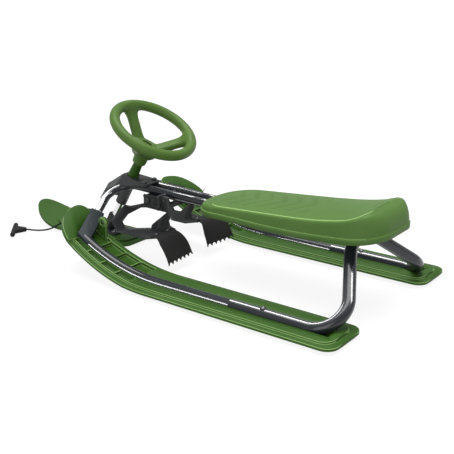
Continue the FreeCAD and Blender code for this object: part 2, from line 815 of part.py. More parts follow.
def steering_head():
    """Welded head that carries the column's bushes."""
    rear_z = frame_z(hood_rear_x) + frame_tube_d / 2 + sheet + fit_gap
    sections = [hood_section(hood_rear_x, rear_z, hood_rear_drop, hood_rear_width, hood_rear_ridge),
                hood_section(hood_step_x, hood_step_z, hood_wing_drop / 2, hood_step_width, hood_step_ridge),
                hood_section(hood_top_x, hood_top_z, hood_wing_drop, hood_top_width, hood_top_ridge),
                hood_section(hood_nose_x, hood_nose_z, hood_wing_drop / 2, hood_nose_width, hood_top_ridge),
                hood_section(hood_low_x, hood_low_z, hood_wing_drop / 4, hood_low_width, hood_low_ridge)]
    hood = Part.makeLoft(sections, True, True)
    tube = on_column(column_rod(head_top, head_end, head_tube_d, head_tube_d))
    low = wheel_centre + down_column * (head_end - bush_length)
    web = plate_xz([(low.x, low.z), (low.x, hood_nose_z), (hood_nose_x - sheet * 2, hood_nose_z - sheet * 2),
                    (hood_low_x - sheet * 2, hood_low_z)], -sheet / 2, sheet / 2)
    body = fused([hood, tube, web])
    bore = on_column(column_rod(head_top - hub_d, head_end + overrun, bush_d, bush_d))
    clear = on_column(column_rod(head_top - hub_d, head_top, head_tube_d + overrun, head_tube_d + overrun))
    body = body.cut(clear).cut(bore).cut(frame_room).cut(mirrored(frame_room))
    for side in (frame_y, -frame_y):
        body = body.cut(rod(V(head_bolt_x, side, 0), V(head_bolt_x, side, wheel_z), bolt_hole_d))
    return max(body.Solids, key=lambda solid: solid.Volume)


head = steering_head()


def hood_ridge(x):
    """Height of the hood's flat ridge behind the column."""
    rear_z = frame_z(hood_rear_x) + frame_tube_d / 2 + sheet + fit_gap
    return rear_z + (hood_step_z - rear_z) * (x - hood_rear_x) / (hood_step_x - hood_rear_x)


head_bolts = []
for side in (frame_y, -frame_y):
    seat = V(head_bolt_x, side, hood_ridge(head_bolt_x + bolt_head_d / 2) + fit_gap)
    head_bolts.append(dome_bolt(bolt_d, bolt_head_d, bolt_head, frame_tube_d + sheet, seat, -AXIS_Z))
head_hole = rod(V(head_bolt_x, frame_y, 0), V(head_bolt_x, frame_y, wheel_z), bolt_hole_d)
frame_tube_left = frame_tube.cut(head_hole)


# Front ski

def ski_end(root, front, half):
    """Long half oval that rounds the ski's tip in plan."""
    oval = Part.Ellipse(V(front, 0, 0), V(root, half, 0), V(root, 0, 0))
    return Part.Arc(oval, -math.pi / 2, math.pi / 2).toShape()


def front_ski():
    """Moulded ski on the centre line, flat behind and upturned at the tip."""
    def run(half_width, low, high):
        face = polygon([V(ski_bend_x, -half_width, low), V(ski_bend_x, half_width, low),
                        V(ski_bend_x, half_width, high), V(ski_bend_x, -half_width, high)])
        flat = face.extrude(AXIS_X * (ski_tail_x - ski_bend_x))
        centre = V(ski_bend_x, 0, ski_bend_radius)
        arc = face.revolve(centre, -AXIS_Y, ski_bend_angle)
        tip = face.extrude(AXIS_X * ski_width)
        tip.rotate(centre, -AXIS_Y, ski_bend_angle)
        return fused([flat, arc, tip])

    def outline(margin, front):
        half = ski_width / 2 - margin
        root = front - ski_tip_reach + margin
        rear = ski_tail_x + margin
        radius = ski_tail_radius
        bow = radius * (1 - math.sqrt(0.5))
        edges = [Part.Arc(V(rear + radius, -half, 0), V(rear + bow, bow - half, 0),
                          V(rear, radius - half, 0)).toShape(),
                 Part.LineSegment(V(rear, radius - half, 0), V(rear, half - radius, 0)).toShape(),
                 Part.Arc(V(rear, half - radius, 0), V(rear + bow, half - bow, 0),
                          V(rear + radius, half, 0)).toShape(),
                 Part.LineSegment(V(rear + radius, half, 0), V(root, half, 0)).toShape(),
                 ski_end(root, front, half),
                 Part.LineSegment(V(root, -half, 0), V(rear + radius, -half, 0)).toShape()]
        face = Part.Face(Part.Wire(edges))
        face.translate(AXIS_Z * -overrun)
        return face.extrude(AXIS_Z * (ski_width + overrun))

    low = ski_keel_depth
    mid = low + ski_thick
    base = run(ski_width / 2, low, mid).common(outline(0, ski_tip_x))
    deck = run(ski_width / 2, mid, mid + ski_deck_rise).common(outline(ski_deck_margin, ski_deck_front_x))
    keel = run(ski_keel_width / 2, 0, low).common(outline(ski_deck_margin, ski_tip_x - ski_deck_margin))
    body = fused([base, deck, keel])
    for x in fork_bolt_x:
        for y in fork_bolt_y:
            body = body.cut(rod(V(x, y, -overrun), V(x, y, ski_width), ski_bolt_d + 2 * fit_gap))
    return body


foot_x = wheel_x + (wheel_z - steer_foot_z) * math.tan(lean)
fork_bolt_x = (foot_x - ski_bolt_spread_x / 2, foot_x + ski_bolt_spread_x / 2)
fork_bolt_y = (-ski_bolt_spread_y / 2, ski_bolt_spread_y / 2)
ski = front_ski()
ski_deck = ski_keel_depth + ski_thick + ski_deck_rise

# Fork: foot plate, cup for the column and two webs, welded, bolted down on the front ski

fork_low = ski_deck
fork_top = fork_low + fork_plate_thick
fork_plate = Part.makeBox(fork_plate_length, fork_plate_width, fork_plate_thick,
                          V(foot_x - fork_plate_length / 2, -fork_plate_width / 2, fork_low))
cup = on_column(column_rod(column_end - fork_cup_length, column_end + fork_cup_length / 2,
                           fork_cup_d, fork_cup_d))
cup = cup.common(Part.makeBox(ski_tip_x, track, wheel_z, V(0, -half_track, fork_low)))
web_rear = foot_x - fork_plate_length / 2 + ski_bolt_head_d
web_front = foot_x + fork_plate_length / 2 - ski_bolt_head_d
web_high = fork_top + fork_cup_length * 0.6
web = plate_xz([(web_rear, fork_low), (web_front, fork_low),
                (foot_x, web_high), (foot_x - fork_cup_d, web_high)],
               -fork_web_thick / 2, fork_web_thick / 2)
steering_fork = fused([fork_plate, cup, web])
steering_fork = steering_fork.cut(on_column(column_rod(column_start, column_end + fit_gap,
                                                       column_d + 2 * fit_gap, column_d + 2 * fit_gap)))
ski_bolts = []
for x in fork_bolt_x:
    for y in fork_bolt_y:
        steering_fork = steering_fork.cut(rod(V(x, y, 0), V(x, y, wheel_z), ski_bolt_d + 2 * fit_gap))
        ski_bolts.append(dome_bolt(ski_bolt_d, ski_bolt_head_d, ski_bolt_head,
                                   fork_top - ski_keel_depth - seat_gap, V(x, y, fork_top), -AXIS_Z))

# Tow rope reel on the front ski: housing, lid, spool on its axle and the rope's gland

reel_floor = ski_deck
reel_place = V(reel_x, 0, reel_floor)
reel_inside = reel_d - 2 * reel_wall
housing = Part.makeCylinder(reel_d / 2, reel_height, reel_place)
housing = housing.cut(Part.makeCylinder(reel_inside / 2, reel_height,
                                        reel_place + AXIS_Z * reel_wall))
axle_post = Part.makeCylinder(reel_axle_d / 2, reel_height - seat_gap, reel_place)
exit_turn_xy = math.radians(rope_exit_turn)
exit_way_xy = V(math.cos(exit_turn_xy), math.sin(exit_turn_xy), 0)
gland_root = V(reel_x, 0, rope_exit_z) + exit_way_xy * (reel_d / 2 - reel_wall)
gland_end = gland_root + exit_way_xy * (reel_wall + gland_length)
reel_housing = fused([housing, axle_post, rod(gland_root, gland_end, gland_d)])
rope_hole = rod(gland_root - exit_way_xy * reel_wall, gland_end + exit_way_xy * overrun,
                rope_d + 2 * seat_gap)
reel_housing = reel_housing.cut(rope_hole)
lid_low = reel_floor + reel_height
reel_lid = Part.makeCylinder(reel_d / 2, reel_lid_thick, V(reel_x, 0, lid_low))
lid_rim = Part.makeCylinder(reel_inside / 2 - seat_gap, reel_wall, V(reel_x, 0, lid_low - reel_wall))
lid_rim = lid_rim.cut(Part.makeCylinder(reel_inside / 2 - seat_gap - reel_wall, reel_wall,
                                        V(reel_x, 0, lid_low - reel_wall)))
reel_lid = fused([reel_lid, lid_rim])
reel_lid = reel_lid.makeFillet(reel_lid_thick / 2, [e for e in reel_lid.Edges
                                                    if e.BoundBox.ZMin > lid_low + reel_lid_thick / 2])
spool_low = reel_floor + reel_wall + seat_gap
spool_place = V(reel_x, 0, spool_low)
rope_spool = fused([Part.makeCylinder(spool_d / 2, spool_flange, spool_place),
                    Part.makeCylinder(spool_core_d / 2, spool_height, spool_place),
                    Part.makeCylinder(spool_d / 2, spool_flange,
                                      spool_place + AXIS_Z * (spool_height - spool_flange))])
rope_spool = rope_spool.cut(Part.makeCylinder(reel_axle_d / 2 + run_gap, spool_height, spool_place))

# Tow rope and its handle, lying on the ground beside the front ski

rope_route = [V(*point) for point in rope_points]
rope_runs = [(b - a).Length for a, b in zip(rope_route, rope_route[1:])]
rope_radii = []
for before, corner, after in zip(rope_route, rope_route[1:], rope_route[2:]):
    turn = (corner - before).getAngle(after - corner)
    shorter = min((corner - before).Length, (after - corner).Length)
    rope_radii.append(0.45 * shorter / math.tan(turn / 2))
print("rope radii", [round(r, 1) for r in rope_radii], "runs", [round(r, 1) for r in rope_runs])
rope_path = bent_path(rope_route, rope_radii)
tow_rope = swept(rope_path, rope_d)
print("rope length", round(rope_path.Length, 1), "volume",
      round(tow_rope.Volume / (math.pi * rope_d ** 2 / 4 * rope_path.Length), 4))

handle_way = (rope_route[-1] - rope_route[-2]).normalize()
handle_turn = math.degrees(math.atan2(handle_way.y, handle_way.x))
grip_r = handle_thick / 2
bar_x = handle_depth - grip_r
bar = rod(V(bar_x, -handle_length / 2 + grip_r, 0), V(bar_x, handle_length / 2 - grip_r, 0), handle_thick)
ends = [Part.makeSphere(grip_r, V(bar_x, side * (handle_length / 2 - grip_r), 0)) for side in (-1, 1)]
neck = polygon([V(0, -handle_neck / 2, -handle_neck / 2), V(bar_x, -handle_length / 4, -handle_neck / 2),
                V(bar_x, handle_length / 4, -handle_neck / 2),
                V(0, handle_neck / 2, -handle_neck / 2)]).extrude(AXIS_Z * handle_neck)
tow_handle = fused([bar, neck] + ends)
tow_handle.rotate(ORIGIN, AXIS_Z, handle_turn)
tow_handle.translate(rope_route[-1] + handle_way * seat_gap)


# Seat: one moulded shell on bosses, screwed to two brackets across the frame tubes

def seat_lower(rise):
    """Lower edge of the seat in side view, from tail to nose, raised by an amount."""
    points = [V(seat_tail_x, 0, seat_tail_low_z + rise), V(seat_rear_x, 0, seat_rear_low_z + rise),
              V(seat_mid_x, 0, seat_mid_low_z + rise), V(seat_front_x, 0, seat_front_low_z + rise),
              V(seat_nose_x, 0, seat_nose_low_z + rise)]
    curve = Part.BSplineCurve()
    curve.interpolate(points)
    return points, curve.toShape()


def seat_block(edges):
    """Solid with the given outline in side view, wider than the seat."""
    face = Part.Face(Part.Wire(edges))
    face.translate(AXIS_Y * -seat_width)
    return face.extrude(AXIS_Y * (seat_width * 2))


def seat_profile(inset):
    """Side view of the seat's outside, drawn in by an inset at the top and ends."""
    top = [V(seat_nose_x, 0, seat_nose_high_z - inset), V(seat_front_x, 0, seat_front_high_z - inset),
           V(seat_mid_x, 0, seat_mid_high_z - inset), V(seat_rear_x, 0, seat_rear_high_z - inset),
           V(seat_crest_x + inset, 0, seat_crest_z - inset),
           V(seat_shoulder_x + inset, 0, seat_shoulder_z - inset / 2),
           V(seat_tail_x + inset, 0, seat_tail_low_z)]
    upper = Part.BSplineCurve()
    upper.interpolate(top)
    points, lower = seat_lower(0)
    edges = [upper.toShape(), lower, Part.LineSegment(points[-1], top[0]).toShape()]
    if inset:
        low = AXIS_Z * -seat_nose_low_z
        edges = [upper.toShape(), Part.LineSegment(top[-1], top[-1] + low).toShape(),
                 Part.LineSegment(top[-1] + low, points[-1] + low).toShape(),
                 Part.LineSegment(points[-1] + low, top[0]).toShape()]
    return seat_block(edges)


def seat_outline(inset, z):
    """Plan of the seat at a height, drawn in by an inset: round nose, widening sides, rounded tail."""
    front = seat_front_width / 2 - inset
    rear = seat_width / 2 - inset
    nose = seat_nose_x - inset
    tail = seat_tail_x + min(inset, seat_wall)
    radius = seat_corner_radius
    bow = radius * (1 - math.sqrt(0.5))
    edges = [Part.Arc(V(seat_front_x, front, z), V(nose, 0, z), V(seat_front_x, -front, z)).toShape(),
             Part.LineSegment(V(seat_front_x, -front, z), V(seat_mid_x, -rear, z)).toShape(),
             Part.LineSegment(V(seat_mid_x, -rear, z), V(tail + radius, -rear, z)).toShape(),
             Part.Arc(V(tail + radius, -rear, z), V(tail + bow, bow - rear, z),
                      V(tail, radius - rear, z)).toShape(),
             Part.LineSegment(V(tail, radius - rear, z), V(tail, rear - radius, z)).toShape(),
             Part.Arc(V(tail, rear - radius, z), V(tail + bow, rear - bow, z),
                      V(tail + radius, rear, z)).toShape(),
             Part.LineSegment(V(tail + radius, rear, z), V(seat_mid_x, rear, z)).toShape(),
             Part.LineSegment(V(seat_mid_x, rear, z), V(seat_front_x, front, z)).toShape()]
    return Part.Wire(edges)


def seat_plan(inset):
    """Block with the seat's plan, drawn in by an inset and narrowing upward by the mould's draft."""
    low = seat_outline(inset, seat_nose_low_z - seat_lip_height)
    high = seat_outline(inset + seat_draft, seat_crest_z + seat_lip_height)
    return Part.makeLoft([low, high], True, True)


def seat_shell():
    """Open-bottomed shell with its bosses."""
    outer = seat_profile(0).common(seat_plan(0))
    inner = seat_profile(seat_wall).common(seat_plan(seat_wall))
    points, lower = seat_lower(0)
    raised, upper = seat_lower(seat_lip_height)
    lip = seat_block([lower, Part.LineSegment(points[-1], raised[-1]).toShape(), upper,
                      Part.LineSegment(raised[0], points[0]).toShape()])
    lip = lip.common(seat_plan(-seat_lip))
    shell = fused([outer, lip]).cut(inner)
    inside_wall = seat_profile(seat_wall / 2)
    bosses = []
    for x in (seat_bracket_front_x, seat_bracket_rear_x):
        for side in (-1, 1):
            foot = V(x, side * seat_boss_spread / 2, frame_top(x) + sheet + fit_gap)
            boss = rod(foot, foot + AXIS_Z * seat_width, seat_boss_d)
            bosses.append(boss.common(inside_wall))
    shell = fused([shell] + bosses)
    for x in (seat_bracket_front_x, seat_bracket_rear_x):
        for side in (-1, 1):
            foot = V(x, side * seat_boss_spread / 2, frame_top(x) + sheet)
            shell = shell.cut(rod(foot, foot + AXIS_Z * seat_screw_depth, seat_screw_d + 2 * fit_gap))
    # Notch in the nose where the frame tubes pass under the seat
    notch = Part.makeBox(seat_front_width, frame_spread + frame_tube_d * 1.5,
                         frame_top(seat_nose_x) + seat_gap * 2,
                         V(seat_front_x, -(frame_spread + frame_tube_d * 1.5) / 2, 0))
    return shell.cut(notch)


seat = seat_shell()
seat_brackets = {}
seat_screws = []
for label, x in (("front", seat_bracket_front_x), ("rear", seat_bracket_rear_x)):
    low = frame_top(x - seat_bracket_length / 2) + fit_gap
    low = max(low, frame_top(x + seat_bracket_length / 2) + fit_gap)
    bracket = Part.makeBox(seat_bracket_length, seat_bracket_width, frame_top(x) + sheet - low,
                           V(x - seat_bracket_length / 2, -seat_bracket_width / 2, low))
    for side in (-1, 1):
        foot = V(x, side * seat_boss_spread / 2, low)
        bracket = bracket.cut(rod(foot, foot + AXIS_Z * sheet * 2, seat_screw_d + 2 * fit_gap))
        seat_screws.append(dome_bolt(seat_screw_d, seat_screw_head_d, seat_screw_head,
                                     seat_screw_depth + sheet - overrun, foot, AXIS_Z))
    seat_brackets[label] = bracket

# Foot brake: two pressed plates on one pin under the frame tubes, each with a bolted claw

cheek_y = cheek_gap / 2
brake_hole = brake_pin_d + 2 * run_gap


def brake_plate():
    """Left brake plate: cheek with two arms, foot plate, toe plate and rear flange."""
    body = [(brake_body_rear_x, brake_body_top_z), (brake_body_front_x, brake_body_top_z),
            (brake_body_front_x, brake_body_low_z + brake_strip),
            (toe_top_x - brake_strip, toe_top_z), (toe_top_x, toe_top_z),
            (pedal_front_x, pedal_z), (pedal_rear_x, pedal_z), (pedal_kick_x, pedal_kick_z),
            (brake_body_rear_x - brake_strip / 2, brake_body_low_z)]
    strip = brake_strip
    cheek = plate_xz(body, cheek_y, cheek_y + sheet)
    for outline in (brake_window, brake_notch):
        cheek = cheek.cut(plate_xz(outline, cheek_y - overrun, cheek_y + sheet + overrun))
    upper = [(toe_top_x, toe_top_z), (pedal_front_x, pedal_z), (pedal_rear_x, pedal_z),
             (pedal_kick_x, pedal_kick_z)]
    lower = [(toe_top_x + sheet, toe_top_z), (pedal_front_x + sheet / 2, pedal_z - sheet),
             (pedal_rear_x, pedal_z - sheet), (pedal_kick_x, pedal_kick_z - sheet)]
    flange = plate_xz(upper + list(reversed(lower)), cheek_y, pedal_outer_y)
    trim = [(pedal_outer_y + overrun, toe_top_z - toe_outer_drop), (pedal_outer_y + overrun, toe_top_z + strip),
            (cheek_y, toe_top_z + strip), (cheek_y, toe_top_z)]
    cutter = polygon([V(pedal_front_x, y, z) for y, z in trim]).extrude(AXIS_X * toe_top_x)
    opening = plate_xy(pedal_opening, pedal_z - sheet * 2, toe_top_z)
    plate = fused([cheek, flange.cut(cutter).cut(opening)])
    plate = plate.cut(rod(V(brake_x, 0, brake_z), V(brake_x, track, brake_z), brake_hole))
    plate = plate.cut(rod(V(spring_x, 0, spacer_z), V(spring_x, track, spacer_z),
                          bolt_d + 2 * fit_gap))
    hole = V(brake_body_rear_x + brake_hole_d, 0, (brake_z + brake_body_top_z) / 2 - fit_gap)
    return plate.cut(rod(hole, hole + AXIS_Y * track, brake_hole_d / 2))


kick_way = V(pedal_rear_x - pedal_kick_x, 0, pedal_z - pedal_kick_z).normalize()
kick_normal = V(-kick_way.z, 0, kick_way.x)
if kick_normal.z < 0:
    kick_normal = -kick_normal


def brake_claw():
    """Left claw: bent plate bolted on the rear flange, with a row of teeth."""
    root = V(pedal_kick_x, 0, pedal_kick_z) + kick_normal * fit_gap
    lap = root + kick_way * claw_lap
    points = [lap, root - kick_way * sheet, V(claw_mid_x, 0, claw_mid_z), V(claw_tip_x, 0, claw_tip_z)]
    outer = [lap + kick_normal * sheet, root - kick_way * sheet + kick_normal * sheet,
             V(claw_mid_x - sheet * 0.8, 0, claw_mid_z + sheet * 0.6),
             V(claw_tip_x - sheet, 0, claw_tip_z)]
    side = points + list(reversed(outer))
    claw = plate_xz([(p.x, p.z) for p in side], claw_inner_y, pedal_outer_y)
    claw = claw.cut(plate_xz([(root.x, pedal_kick_z - sheet), (lap.x + overrun, pedal_z - sheet),
                              (lap.x + overrun, brake_z), (root.x, brake_z)],
                             claw_inner_y - overrun, cheek_y + sheet + fit_gap))
    pitch = (pedal_outer_y - claw_inner_y) / claw_tooth_count
    teeth = []
    for i in range(claw_tooth_count):
        y = claw_inner_y + i * pitch
        notch = polygon([V(claw_tip_x - brake_strip, y + pitch * 0.2, claw_tip_z - overrun),
                         V(claw_tip_x - brake_strip, y + pitch * 0.5, claw_tip_z + claw_tooth_depth),
                         V(claw_tip_x - brake_strip, y + pitch * 0.8, claw_tip_z - overrun)])
        teeth.append(notch.extrude(AXIS_X * brake_strip * 2))
    shoulder = polygon([V(claw_tip_x - brake_strip, y, z) for y, z in
                        ((claw_inner_y - overrun, brake_z), (cheek_y + sheet, brake_z),
                         (cheek_y + sheet, claw_mid_z + sheet), (cheek_y, claw_mid_z - sheet),
                         ((cheek_y + claw_inner_y) / 2, (claw_mid_z * 2 + claw_tip_z) / 3),
                         (claw_inner_y, (claw_mid_z + claw_tip_z) / 2),
                         (claw_inner_y - overrun, (claw_mid_z + claw_tip_z) / 2))])
    shoulder = shoulder.extrude(AXIS_X * (pedal_rear_x - claw_tip_x + brake_strip * 2))
    return claw.cut(Part.makeCompound(teeth)).cut(shoulder)


brake_plate_left = brake_plate()
brake_claw_left = brake_claw()
brake_bolts = []
claw_bolt_y = (cheek_y + sheet + brake_bolt_head_d, pedal_outer_y - brake_bolt_head_d)
for y in claw_bolt_y:
    centre = V(pedal_kick_x, y, pedal_kick_z) + kick_way * (claw_lap / 2)
    hole = rod(centre - kick_normal * brake_strip, centre + kick_normal * brake_strip,
               brake_bolt_d + 2 * fit_gap)
    brake_plate_left = brake_plate_left.cut(hole)
    brake_claw_left = brake_claw_left.cut(hole)
    bolt = dome_bolt(brake_bolt_d, brake_bolt_head_d, brake_bolt_head, 3 * sheet,
                     centre + kick_normal * (sheet + 2 * fit_gap), -kick_normal)
    brake_bolts += [bolt, mirrored(bolt)]

# Hanger: folded bracket welded under the frame tubes, with an ear for each end of the pin

ear_y = cheek_y - seat_gap
tie_top = frame_z(brake_x - lug_length / 2) - frame_tube_d / 2 - fit_gap
ear = plate_xz([(brake_x - lug_length / 2, tie_top), (brake_x + lug_length / 2, tie_top),
                (brake_x + brake_pin_d, brake_z), (brake_x - brake_pin_d, brake_z)],
               ear_y - lug_thick, ear_y)
lobe = rod(V(brake_x, ear_y - lug_thick, brake_z), V(brake_x, ear_y, brake_z), 2 * brake_pin_d)
tie = plate_xz([(brake_x - lug_length / 2, tie_top - sheet), (brake_x + lug_length / 2, tie_top - sheet),
                (brake_x + lug_length / 2, tie_top), (brake_x - lug_length / 2, tie_top)], -ear_y, ear_y)
brake_hanger = fused([tie, ear, lobe, mirrored(ear), mirrored(lobe)])
brake_hanger = brake_hanger.cut(rod(V(brake_x, -track, brake_z), V(brake_x, track, brake_z), brake_hole))

pin_half = cheek_y + sheet + seat_gap
brake_pin = fused([rod(V(brake_x, -pin_half, brake_z), V(brake_x, pin_half, brake_z), brake_pin_d)] +
                  [rod(V(brake_x, side * pin_half, brake_z), V(brake_x, side * (pin_half + sheet), brake_z),
                       brake_pin_d * 1.7) for side in (-1, 1)])

# Spacer between the cheeks; its rod also holds the lower end of the return spring

spring_y = cheek_y + sheet + brake_bolt_head + spring_d / 2
spring_end_y = spring_y + spring_d / 2 + spring_wire_d
spacer_half = cheek_y - fit_gap
brake_spacer = rod(V(spring_x, -spacer_half, spacer_z), V(spring_x, spacer_half, spacer_z), spacer_d)
spacer_end = cheek_y + sheet + brake_bolt_head
spacer_rod = rod(V(spring_x, -spacer_end, spacer_z), V(spring_x, spring_end_y, spacer_z), bolt_d)
collars = [rod(V(spring_x, side * (cheek_y + sheet + fit_gap), spacer_z),
               V(spring_x, side * spacer_end, spacer_z), brake_bolt_head_d) for side in (-1, 1)]
brake_spacer = fused([brake_spacer, spacer_rod] + collars)

# Cross pin through both frame tubes; its long end holds the spring's upper end

cross_z = frame_z(spring_x)
cross_half = frame_y + frame_tube_d / 2 + sheet
cross_pin = rod(V(spring_x, -cross_half, cross_z), V(spring_x, spring_end_y, cross_z), bolt_d)
cross_hole = rod(V(spring_x, -track, cross_z), V(spring_x, track, cross_z), bolt_hole_d)
frame_tube_left = frame_tube_left.cut(cross_hole)

# Return spring: one wire of close coils, pulling the brake back up

spring_low = spacer_z + bolt_d / 2 + seat_gap + spring_wire_d / 2
spring_high = cross_z - bolt_d / 2 - seat_gap - spring_wire_d / 2
spring_pitch = (spring_high - spring_low) / spring_turn_count
coil_radius = (spring_d - spring_wire_d) / 2
helix = Part.makeLongHelix(spring_pitch, spring_high - spring_low, coil_radius)
helix.translate(V(spring_x, spring_y, spring_low))
coil = Part.Wire(helix)
first = coil.Edges[0]
wire_ring = Part.Wire(Part.makeCircle(spring_wire_d / 2, first.valueAt(first.FirstParameter),
                                      first.tangentAt(first.FirstParameter)))
brake_spring = coil.makePipeShell([wire_ring], True, True)
turn_point_count = 24
wire_points = coil.discretize(Number=spring_turn_count * turn_point_count + 1)
least_gap = min((a - b).Length for i, a in enumerate(wire_points)
                for b in wire_points[i + turn_point_count // 2:]) - spring_wire_d
print("spring least gap to itself", round(least_gap, 3))

save("runner_left", runner_left)
save("runner_right", runner_right)
save("rear_hoop", rear_hoop)
save("runner_tube_left", runner_tube_left)
save("runner_tube_right", runner_tube_right)
save("frame_tube_left", frame_tube_left)
save("frame_tube_right", mirrored(frame_tube_left))
save("tube_rings", Part.makeCompound([tube_ring, mirrored(tube_ring)]))
save("runner_bolts", Part.makeCompound([runner_bolt, mirrored(runner_bolt)]))
save("steering_head", head)
save("head_bolts", Part.makeCompound(head_bolts))
save("bush_upper", on_column(bush_upper))
save("bush_lower", on_column(bush_lower))
save("steering_wheel", on_column(steering_wheel()))
save("wheel_bolt", on_column(wheel_bolt))
save("column_sleeve", on_column(column_sleeve))
save("steering_column", on_column(steering_column))
save("steering_fork", steering_fork)
save("front_ski", ski)
save("ski_bolts", Part.makeCompound(ski_bolts))
save("reel_housing", reel_housing)
save("reel_lid", reel_lid)
save("rope_spool", rope_spool)
save("tow_rope", tow_rope)
save("tow_handle", tow_handle)
save("seat_shell", seat)
save("seat_bracket_front", seat_brackets["front"])
save("seat_bracket_rear", seat_brackets["rear"])
save("seat_screws", Part.makeCompound(seat_screws))
save("brake_hanger", brake_hanger)
save("brake_pin", brake_pin)
save("brake_plate_left", brake_plate_left)
save("brake_plate_right", mirrored(brake_plate_left))
save("brake_claw_left", brake_claw_left)
save("brake_claw_right", mirrored(brake_claw_left))
save("brake_bolts", Part.makeCompound(brake_bolts))
save("brake_spacer", brake_spacer)
save("cross_pin", cross_pin)
save("brake_spring", brake_spring)
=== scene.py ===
import math

import bmesh
import bpy
import numpy as np
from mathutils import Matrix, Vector


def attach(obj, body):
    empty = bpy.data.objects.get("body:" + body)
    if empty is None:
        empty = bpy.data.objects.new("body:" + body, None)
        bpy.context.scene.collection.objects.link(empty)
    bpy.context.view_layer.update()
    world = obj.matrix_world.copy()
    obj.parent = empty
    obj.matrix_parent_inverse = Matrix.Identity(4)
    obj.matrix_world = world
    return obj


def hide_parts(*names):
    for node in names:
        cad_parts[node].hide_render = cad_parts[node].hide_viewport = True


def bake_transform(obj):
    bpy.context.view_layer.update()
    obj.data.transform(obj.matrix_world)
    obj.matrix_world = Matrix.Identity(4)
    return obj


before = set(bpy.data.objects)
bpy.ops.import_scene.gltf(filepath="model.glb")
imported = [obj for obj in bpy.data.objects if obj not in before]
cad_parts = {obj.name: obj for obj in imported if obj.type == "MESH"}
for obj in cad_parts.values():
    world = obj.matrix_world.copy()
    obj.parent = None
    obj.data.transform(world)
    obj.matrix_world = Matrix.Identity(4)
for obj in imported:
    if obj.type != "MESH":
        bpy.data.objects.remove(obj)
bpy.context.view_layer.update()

# Side runners: two long skis of satin green plastic, each moulded in one piece with a channel for
# its tube, open cells between the ribs of the upturned front and a bored ear on the inner side.
# They are bolted up to the runner tubes and carry the sled on a narrow keel.


class Shade:
    """A socket in a node tree. Sums on it add Math nodes, and make() adds any other node."""

    def __init__(self, tree, socket=None):
        self.tree = tree
        self.socket = socket

    def make(self, kind, settings, sockets, output=0):
        node = self.tree.nodes.new("ShaderNode" + kind)
        for name, setting in settings.items():
            if name == "stops":
                ramp = node.color_ramp
                while len(ramp.elements) < len(setting):
                    ramp.elements.new(1.0)
                for element, (place, grey) in zip(ramp.elements, setting):
                    element.position = place
                    element.color = (grey, grey, grey, 1.0)
            else:
                setattr(node, name, setting)
        for name, value in sockets.items():
            if isinstance(value, Shade):
                self.tree.links.new(value.socket, node.inputs[name])
            else:
                node.inputs[name].default_value = value
        return Shade(self.tree, node.outputs[output])

    def math(self, operation, first, second=0.0):
        return self.make("Math", {"operation": operation}, {0: first, 1: second})

    def __add__(self, other):
        return self.math("ADD", self, other)

    def __sub__(self, other):
        return self.math("SUBTRACT", self, other)

    def __mul__(self, other):
        return self.math("MULTIPLY", self, other)

    def __rsub__(self, other):
        return self.math("SUBTRACT", other, self)

    def __abs__(self):
        return self.math("ABSOLUTE", self)


def new_material(name):
    """An empty material: returns the material, a Shade to build on and its shader node."""
    material = bpy.data.materials.new(name)
    material.use_nodes = True
    return material, Shade(material.node_tree), material.node_tree.nodes["Principled BSDF"]


def linear(red, green, blue):
    """A colour as seen on a screen, in 0 to 255, as the shader's linear values."""
    shares = [c / 255 for c in (red, green, blue)]
    return [s / 12.92 if s <= 0.04045 else ((s + 0.055) / 1.055) ** 2.4 for s in shares] + [1.0]


def wire(shader, name, value):
    """Feeds one socket of a material's shader."""
    value.tree.links.new(value.socket, shader.inputs[name])


def mixed(start, mask, low, high):
    """Blends two colours by a mask."""
    return start.make("Mix", {"data_type": "RGBA"}, {0: mask, 6: low, 7: high}, 2)


def moulded_plastic(name, dark, pale, grain, rough, relief=None):
    """Satin moulded plastic: a slightly clouded colour, a fine grain, scuffs and soft sink marks."""
    cloud_tone, scuff_tone, relief_tone = 0.8, 0.12, 0.25
    grain_height, sink_height, relief_height = 0.5, 1.2, 6.0
    grain_rough, cloud_rough, scuff_rough, mean_rough = 0.12, 0.08, 0.08, 0.1
    material, start, shader = new_material(name)
    place = start.make("TexCoord", {}, {}, "Object")
    cloud = start.make("TexNoise", {}, {"Vector": place, "Scale": 9.0, "Detail": 4.0, "Roughness": 0.6})
    fine = start.make("TexNoise", {}, {"Vector": place, "Scale": grain, "Detail": 3.0})
    scuff = start.make("TexNoise", {}, {"Vector": place, "Scale": 75.0, "Detail": 6.0, "Roughness": 0.75})
    scuff = start.make("ValToRGB", {"stops": [(0.62, 0.0), (0.74, 1.0)]}, {"Fac": scuff})
    tone = cloud * cloud_tone + scuff * scuff_tone
    height = fine * grain_height + cloud * sink_height
    if relief:
        raised = relief(start, place)
        tone = tone - raised * relief_tone
        height = height + raised * relief_height
    wire(shader, "Base Color", mixed(start, tone, dark, pale))
    wire(shader, "Roughness",
         fine * grain_rough + cloud * cloud_rough + scuff * scuff_rough + (rough - mean_rough))
    bump = start.make("Bump", {}, {"Strength": 0.4, "Distance": 0.0004, "Height": height})
    wire(shader, "Normal", bump)
    shader.inputs["Specular IOR Level"].default_value = 0.16
    return material


def placed(name, data):
    """A new object in the scene, at the origin."""
    piece = bpy.data.objects.new(name, data)
    bpy.context.scene.collection.objects.link(piece)
    return piece


